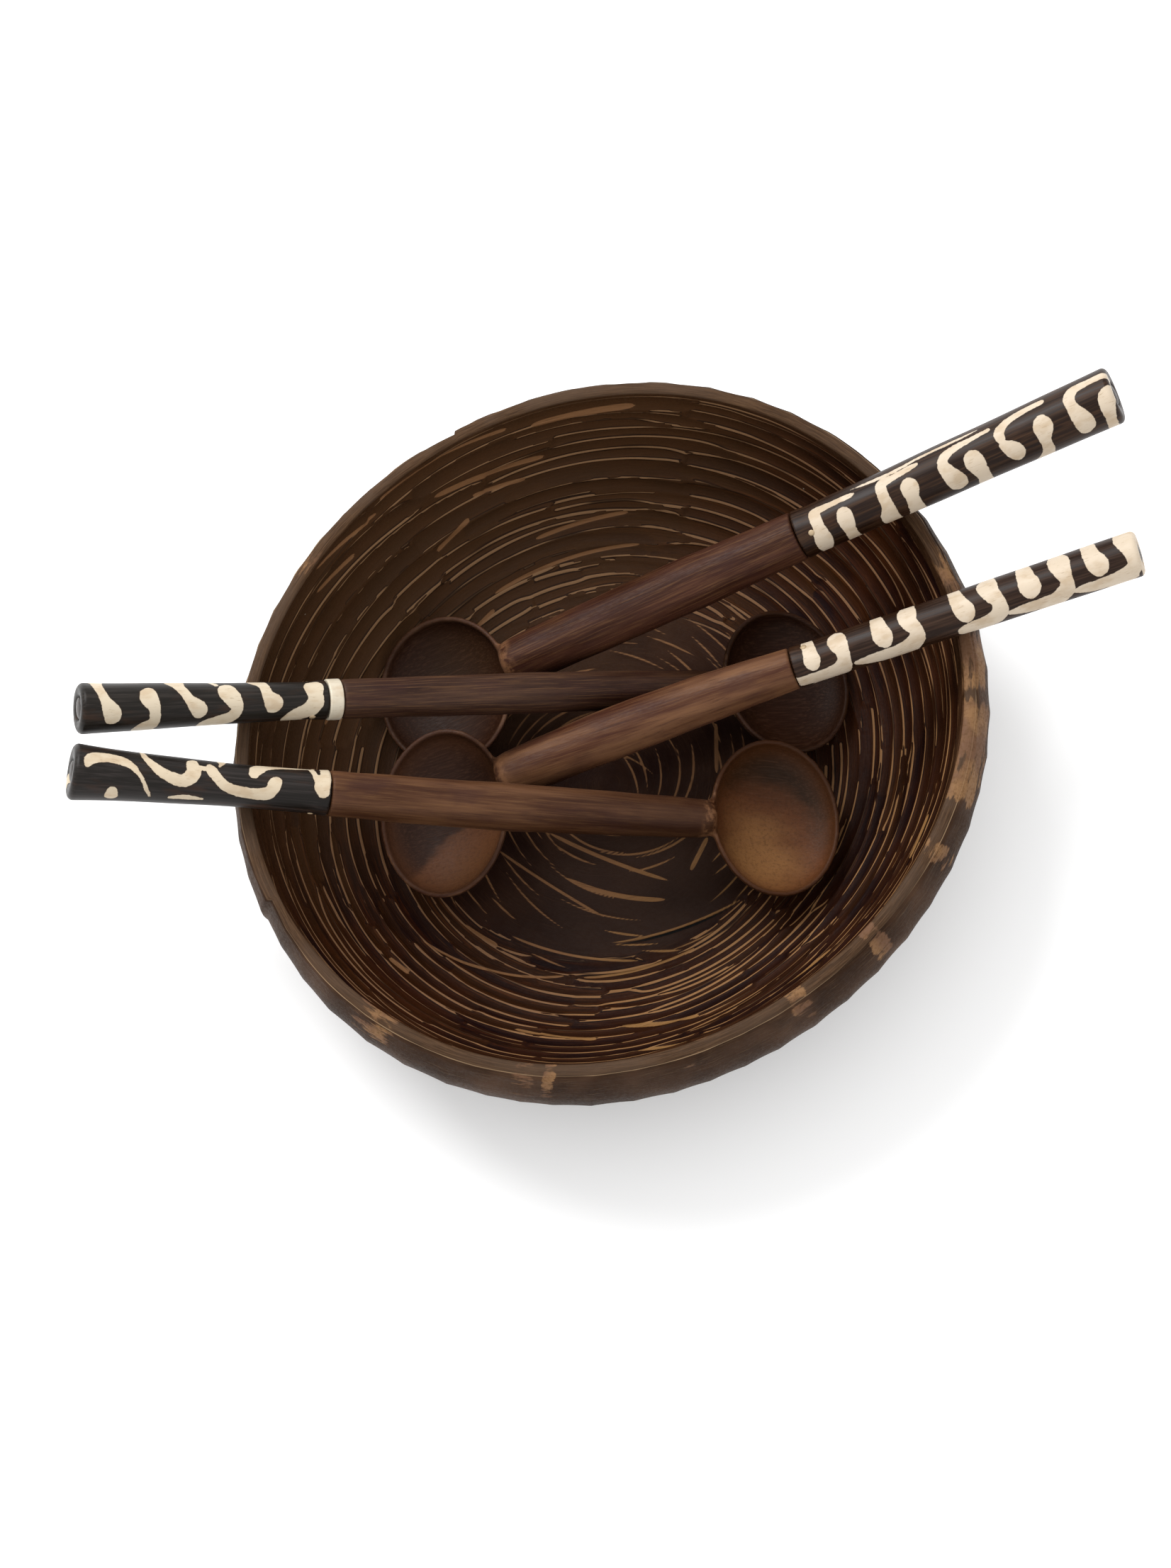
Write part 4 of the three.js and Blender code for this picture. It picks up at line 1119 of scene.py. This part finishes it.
class BowlWood(Shader):
    """The bowl's dyed wood. The patterns that several of its layers share are made here."""

    def __init__(self):
        super().__init__("bowl_wood")
        self.streak = self.attribute("streak", "Vector")
        self.grain = self.noise((1.5, 1.5, 0.45), self.streak, detail=4, rough=0.65)
        self.clouds = self.noise((30, 30, 24), detail=2)
        self.fine = self.noise((1.2, 1.2, 1.2), detail=3)
        self.comes = self.noise((9, 9, 4.5), self.streak, detail=2)  # ridges come and go with it
        self.spot = self.node("ShaderNodeTexCoord").outputs["Object"]
        self.golden = self.from_point("DOT_PRODUCT", GOLDEN_SIDE)
        self.warm = self.plus(self.golden, self.minus(self.noise((40, 40, 40)), 0.5))

    def from_point(self, operation, point):
        made = self.node("ShaderNodeVectorMath", {0: self.spot, 1: point}, operation=operation)
        return made.outputs["Value"]

    def wall(self):
        tone, edge = self.attribute("tone"), self.attribute("edge")
        deep = self.tint(0x210E05, 0x3C210E, tone, 0.1, 0.9)
        slope = self.tint(0x4E260F, 0x683C1E, tone, 0.1, 0.9)
        near = self.times(self.range(edge, 0.3, 2.6, 0.85, 0), self.range(self.grain, 0.36, 0.62, 0.3, 1))
        colour = self.mix(near, deep, slope)
        colour = self.tint(colour, 0x42200E, self.clouds, 0.42, 0.62, 0.6)
        colour = self.tint(colour, 0x6A4020, self.grain, 0.52, 0.75, 0.4)
        return self.tint(colour, 0x140803, self.grain, 0.45, 0.3, 0.6)

    def floor(self):
        colour = self.tint(0x2A140B, 0x3C2418, self.clouds, 0.35, 0.65)
        colour = self.tint(colour, 0x543824, self.grain, 0.5, 0.78, 0.5)
        # painted sheen: greyer and paler round the floor's lower middle
        return self.tint(colour, 0x48362C, self.from_point("DISTANCE", PAINTED_SHEEN_PLACE), 0.06, 0.02, 0.5)

    def ridges(self, colour):
        """Paler ridges between the rows of cuts, each beside a dark line of painted shadow."""
        edge = self.attribute("edge")
        reach = self.range(self.comes, 0.36, 0.58, 0.3, 0.7)
        reach = self.times(reach, self.range(self.golden, 0.2, 0.9, 1, 0.8))
        # a dark line of painted shadow beside each ridge
        ridge_shadow = self.minus(1.0, self.math("DIVIDE", edge, self.times(reach, 2.4)), clamp=True)
        colour = self.tint(colour, 0x120702, ridge_shadow, 0.1, 0.6, 0.7)
        ridge = self.minus(1.0, self.math("DIVIDE", edge, reach), clamp=True)
        ridge = self.times(self.range(ridge, 0.1, 0.55), self.range(self.comes, 0.38, 0.46, 0.15, 1))
        pale = self.tint(0xA47A58, 0xB08256, self.warm, 0.3, 0.8)
        # painted light: the ridges are painted paler towards the far left, where the wall gets less light
        pale = self.tint(pale, 0xB89068, self.golden, -0.3, -0.9, 0.6)
        return self.mix(self.times(ridge, 0.85), colour, pale)

    def strokes(self, colour):
        """The flat pale strokes and the crack."""
        flat = self.range(self.attribute("flats"), -0.28, 0.08)
        flat = self.times(flat, self.range(self.grain, 0.25, 0.5, 0.45, 0.9))
        colour = self.mix(flat, colour, self.tint(0x9C704C, 0xA4794A, self.warm, 0.2, 0.9))
        return self.tint(colour, 0x0C0604, self.attribute("crack"), -0.1, 0.25)

    def inside(self):
        colour = self.mix(self.attribute("floor"), self.wall(), self.floor())
        colour = self.tint(colour, 0x60442C, self.golden, 0.0, -1.0, 0.6)
        colour = self.tint(colour, 0x140803, self.golden, 0.0, 0.8, 0.35)
        colour = self.strokes(self.ridges(colour))
        rubbed = self.tint(0x38220F, 0x644630, self.grain, 0.35, 0.7)
        return self.mix(self.times(self.attribute("band"), 0.7), colour, rubbed)

    def outside(self):
        colour = self.tint(0x362214, 0x563E2E, self.clouds, 0.3, 0.8)
        colour = self.tint(colour, 0x1E130C, self.noise((11, 11, 5), detail=3), 0.4, 0.8, 0.4)
        return self.tint(colour, 0x6A543E, self.grain, 0.52, 0.75, 0.6)

    def rim(self, colour):
        """The rim's top, the pale lines along its edges, partly worn and partly painted highlight, and the
        places where the dye is gone.
        """
        crest, bare = self.attribute("crest"), self.attribute("bare")
        top = self.tint(0x443020, 0x664C36, self.grain, 0.35, 0.7)
        top = self.tint(top, 0x5A483A, self.clouds, 0.4, 0.6, 0.5)
        colour = self.mix(self.times(crest, 0.9), colour, top)
        # pale lines along the rim's edges: partly worn edges, partly painted highlight
        border = self.times(self.range(crest, 0.05, 0.5), self.range(crest, 0.98, 0.6))
        border = self.times(border, self.range(self.comes, 0.42, 0.58))
        colour = self.mix(self.times(border, 0.85), colour, 0xB09270)
        patch = self.noise((2.6, 2.6, 4), self.streak, detail=5, rough=0.65)
        patch = self.range(self.plus(patch, self.times(bare, 0.3)), 0.64, 0.74)
        patch = self.times(patch, self.range(bare, 0.05, 0.4))
        tan = self.tint(0xA87E56, 0x86624A, self.noise((14, 14, 14), detail=2), 0.4, 0.6)
        tan = self.tint(tan, 0x6A4A2C, self.fine, 0.45, 0.7, 0.5)
        return self.mix(self.times(patch, 0.7), colour, tan)


def bowl_material():
    s = BowlWood()
    colour = s.rim(s.mix(s.attribute("skin"), s.inside(), s.outside()))
    colour = s.mix(s.times(s.specks(24, 0.3), 0.7), colour, 0xCFC4B4)
    height = s.plus(s.times(s.grain, 0.7), s.times(s.fine, 0.3))
    return s.finish(colour, s.range(s.fine, 0.3, 0.7, 0.5, 0.68), 0.1, height, 0.25)


# the hollow's colours in painted shade, in between and in painted light, the centre and size across
# the head of the painted pool of light, how soft its border is, the lip's colour, the shaft's two,
# and how much painted shadow darkens the shaft at the head
WOODS = {
    "spoon_far_right": {
        "hollow": (0x30190D, 0x361F14, 0x3C2719), "light": (0.2, 0.4, 1, 1), "soft": 1.0,
        "lip": 0x6E4E3A, "shaft": (0x381C11, 0x523124), "painted_shadow": 0.0,
    },
    "spoon_far_left": {
        "hollow": (0x29140A, 0x2D180D, 0x341C11), "light": (0, 0, 1, 1), "soft": 1.0,
        "lip": 0x38200F, "shaft": (0x2E1A14, 0x50382C), "painted_shadow": 0.5,
    },
    "spoon_near_right": {
        "hollow": (0x382218, 0x6C442C, 0x865A34), "light": (1.2, -1.5, 1.95, 1.6), "soft": 0.1,
        "lip": 0x4E3224, "shaft": (0x4A281A, 0x7C563C), "painted_shadow": 0.0,
    },
    "spoon_near_left": {
        "hollow": (0x342010, 0x663C22, 0x90643C), "light": (0.2, 0.45, 1.0, 0.88), "soft": 0.6,
        "lip": 0x4C2C18, "shaft": (0x462818, 0x704C34), "painted_shadow": 0.6,
    },
}


def shaft_colour(s, wood, grain, clouds):
    colour = s.tint(*wood["shaft"], s.noise((60, 7, 7), detail=2), 0.3, 0.7)
    colour = s.tint(colour, 0x86603E, grain, 0.45, 0.7, 0.35)
    colour = s.tint(colour, 0x2A160E, grain, 0.45, 0.3, 0.45)
    colour = s.tint(colour, 0x3C2220, clouds, 0.48, 0.66, 0.35)
    # painted shadow: the shaft is darker towards the head, where the other spoons shade it
    along = s.node("ShaderNodeSeparateXYZ", {0: s.node("ShaderNodeTexCoord").outputs["Object"]}).outputs[0]
    return s.tint(colour, 0x301A10, along, 0.13, 0.03, wood["painted_shadow"])


def hollow_colour(s, wood, grain, clouds):
    dark, middle, light = wood["hollow"]
    centre_u, centre_v, size_u, size_v = wood["light"]
    soft = wood["soft"]

    def squares(a, b):
        return s.plus(s.times(a, a), s.times(b, b))

    # a painted pool of light in the hollow, fading to painted shade away from it
    u, v = s.attribute("head_u"), s.attribute("head_v")
    across = s.math("DIVIDE", s.minus(u, centre_u), size_u)
    down = s.math("DIVIDE", s.minus(v, centre_v), size_v)
    mottle = s.times(s.minus(clouds, 0.5), 0.1 + 0.8 * soft)
    far = s.plus(s.math("SQRT", squares(across, down)), mottle)
    colour = s.tint(dark, middle, far, 1 + soft * 0.5, 1 - soft * 0.35)
    colour = s.tint(colour, light, far, 1 - soft * 0.1, 0.15)
    # painted shade towards the hollow's edge
    out = squares(u, v)
    colour = s.tint(colour, middle, out, 0.45, 0.95, 0.6)
    colour = s.tint(colour, dark, out, 0.75, 1.0, 0.5)
    pores = s.noise((1.3, 1.3, 1.3), detail=5, rough=0.75)
    colour = s.tint(colour, dark, pores, 0.44, 0.7, 0.4)
    return s.tint(colour, 0x7A5640, grain, 0.45, 0.7, 0.18)


def wood_material(name):
    wood = WOODS[name]
    s = Shader(f"{name}_wood")
    grain = s.noise((22, 0.7, 0.7), detail=4, rough=0.65, twist=0.2)
    clouds = s.noise((20, 9, 9), detail=3)
    fine = s.noise((2.4, 0.5, 0.5), detail=3)
    colour = s.mix(s.attribute("hollow"), shaft_colour(s, wood, grain, clouds),
                   hollow_colour(s, wood, grain, clouds))
    rubbed = s.range(s.noise((16, 16, 16), detail=2), 0.4, 0.6, 0.25, 0.9)
    colour = s.mix(s.times(s.attribute("lip"), rubbed), colour, wood["lip"])
    worn = s.times(s.attribute("worn"), s.range(s.noise((3, 3, 3), detail=3), 0.4, 0.62))
    colour = s.mix(s.times(worn, 0.75), colour, 0x8C6244)
    colour = s.mix(s.times(s.specks(52, 0.6), 0.85), colour, 0xCDBFA8)
    height = s.plus(s.times(grain, 0.6), s.times(fine, 0.4))
    return s.finish(colour, s.range(fine, 0.3, 0.7, 0.46, 0.62), 0.14, height, 0.16)


# the dyed ground's near-black, its lighter streaks, and the cream of the marks
SLEEVES = {
    "spoon_far_right": (0x23140A, 0x463020, 0xE8D6BE),
    "spoon_far_left": (0x1F1B17, 0x36302C, 0xE6D6BC),
    "spoon_near_right": (0x26160D, 0x463226, 0xEAD8C0),
    "spoon_near_left": (0x211D1A, 0x383230, 0xE6D4B8),
}


def bone_texture(s, cream):
    """The colour of undyed bone: warm white with fine pores along it and faint stains."""
    colour = s.tint(cream, 0xCDB290, s.noise((9, 5, 5), detail=3), 0.42, 0.7, 0.6)
    return s.tint(colour, 0x9C8264, s.noise((3.2, 0.4, 0.4), detail=2), 0.62, 0.74, 0.5)


def sleeve_material(name):
    dark, lighter, cream = SLEEVES[name]
    s = Shader(f"{name}_bone")
    uneven = s.times(s.minus(s.noise((1.6, 1.6, 1.6), detail=3), 0.5), 0.9)
    inside = s.plus(s.attribute("marks"), uneven)
    pale = s.times(s.range(inside, -0.14, 0.16), s.attribute("outside"))
    streaks = s.noise((34, 1.0, 1.0), detail=4, rough=0.6)
    ground = s.tint(dark, lighter, streaks, 0.4, 0.7)
    ground = s.tint(ground, 0x4A3020, s.noise((20, 5, 5), detail=2), 0.55, 0.75, 0.5)
    ground = s.tint(ground, 0x2A1C12, inside, -0.9, -0.1, 0.5)
    colour = s.mix(pale, ground, bone_texture(s, cream))
    height = s.plus(s.times(pale, 0.5), s.times(streaks, 0.5))
    return s.finish(colour, s.range(streaks, 0.3, 0.7, 0.34, 0.5), 0.16, height, 0.09)


def bone_material(name, cream):
    s = Shader(name)
    roughness = s.range(s.noise((2, 2, 2), detail=2), 0.3, 0.7, 0.3, 0.45)
    return s.finish(bone_texture(s, cream), roughness, 0.45, s.noise((3, 0.6, 0.6)), 0.06)


def plug_material():
    s = Shader("plug_bone")
    rings = s.noise((6, 1.2, 1.2), detail=4)
    colour = s.tint(0x17110E, 0x3A2A20, rings, 0.4, 0.65)
    return s.finish(colour, s.range(rings, 0.3, 0.7, 0.35, 0.5), 0.5, rings, 0.1)


# ---- Stage ----

CAMERA_TILT = 16
CAMERA_FROM = (-0.0102, -0.3318, 1.1654)  # metres
LENS, SENSOR = 68.04, 36  # in millimetres, the sensor along the picture's long side
SKY = 1.22
FLOOR_HALF, FLOOR_WHITE = 6.0, (0.93, 0.93, 0.93, 1)  # metres, and a linear colour
KEY_FROM, KEY_SIZE, KEY_POWER = (-0.8, 0.8, 1.3), 0.9, 24  # metres, metres and watts


def stage():
    scene = bpy.context.scene
    scene.view_settings.view_transform = "Standard"
    camera = bpy.data.objects.new("camera", bpy.data.cameras.new("camera"))
    scene.collection.objects.link(camera)
    camera.location = CAMERA_FROM
    camera.rotation_euler = (math.radians(CAMERA_TILT), 0, 0)
    camera.data.lens = LENS
    camera.data.sensor_width = SENSOR
    camera.data.clip_end = 50
    scene.camera = camera

    world = bpy.data.worlds.new("studio")
    scene.world = world
    world.use_nodes = True
    world.node_tree.nodes["Background"].inputs["Color"].default_value = (1, 1, 1, 1)
    world.node_tree.nodes["Background"].inputs["Strength"].default_value = SKY

    mesh = bpy.data.meshes.new("floor")
    corners = ((-1, -1), (1, -1), (1, 1), (-1, 1))
    mesh.from_pydata([(FLOOR_HALF * x, FLOOR_HALF * y, 0) for x, y in corners], [], [(0, 1, 2, 3)])
    floor = bpy.data.objects.new("floor", mesh)
    scene.collection.objects.link(floor)
    s = Shader("floor")
    s.set("Base Color", FLOOR_WHITE)
    s.set("Roughness", 0.9)
    s.set("Specular IOR Level", 0.1)
    mesh.materials.append(s.material)

    key = bpy.data.lights.new("key", "AREA")
    key.shape = "DISK"
    key.size, key.energy = KEY_SIZE, KEY_POWER
    lamp = bpy.data.objects.new("key", key)
    lamp.location = KEY_FROM
    lamp.rotation_mode = "QUATERNION"
    lamp.rotation_quaternion = (Vector((0, 0, 0.03)) - Vector(KEY_FROM)).to_track_quat("-Z", "Y")
    scene.collection.objects.link(lamp)


# ---- Everything in place ----

def build():
    whole = Matrix.Identity(4)
    place("bowl_carved", bowl_mesh(), bowl_material(), whole, "bowl", ["bowl"])
    cream = bone_material("pale_bone", 0xEBDFC8)
    peg = bone_material("pin_bone", 0xC9B08C)
    plug = plug_material()
    for name, spoon in SPOONS.items():
        matrix = spoon_frame(name, spoon)
        parts = [
            ("wood", wood_mesh, wood_material(name), "spoon_wood"),
            ("sleeve", sleeve_mesh, sleeve_material(name), "dyed_bone"),
            ("end_plug", plug_mesh, plug, "plug_bone"),
            ("pin", pin_mesh, peg, "pin_bone"),
        ]
        if spoon["collar"]:
            parts.append(("collar", collar_mesh, cream, "pale_bone"))
        for part, make, material, slot in parts:
            mesh = make(name, spoon)
            place(f"{name}_{part}_piece", mesh, material, matrix, name, [f"{name}_{part}"])


build()
stage()
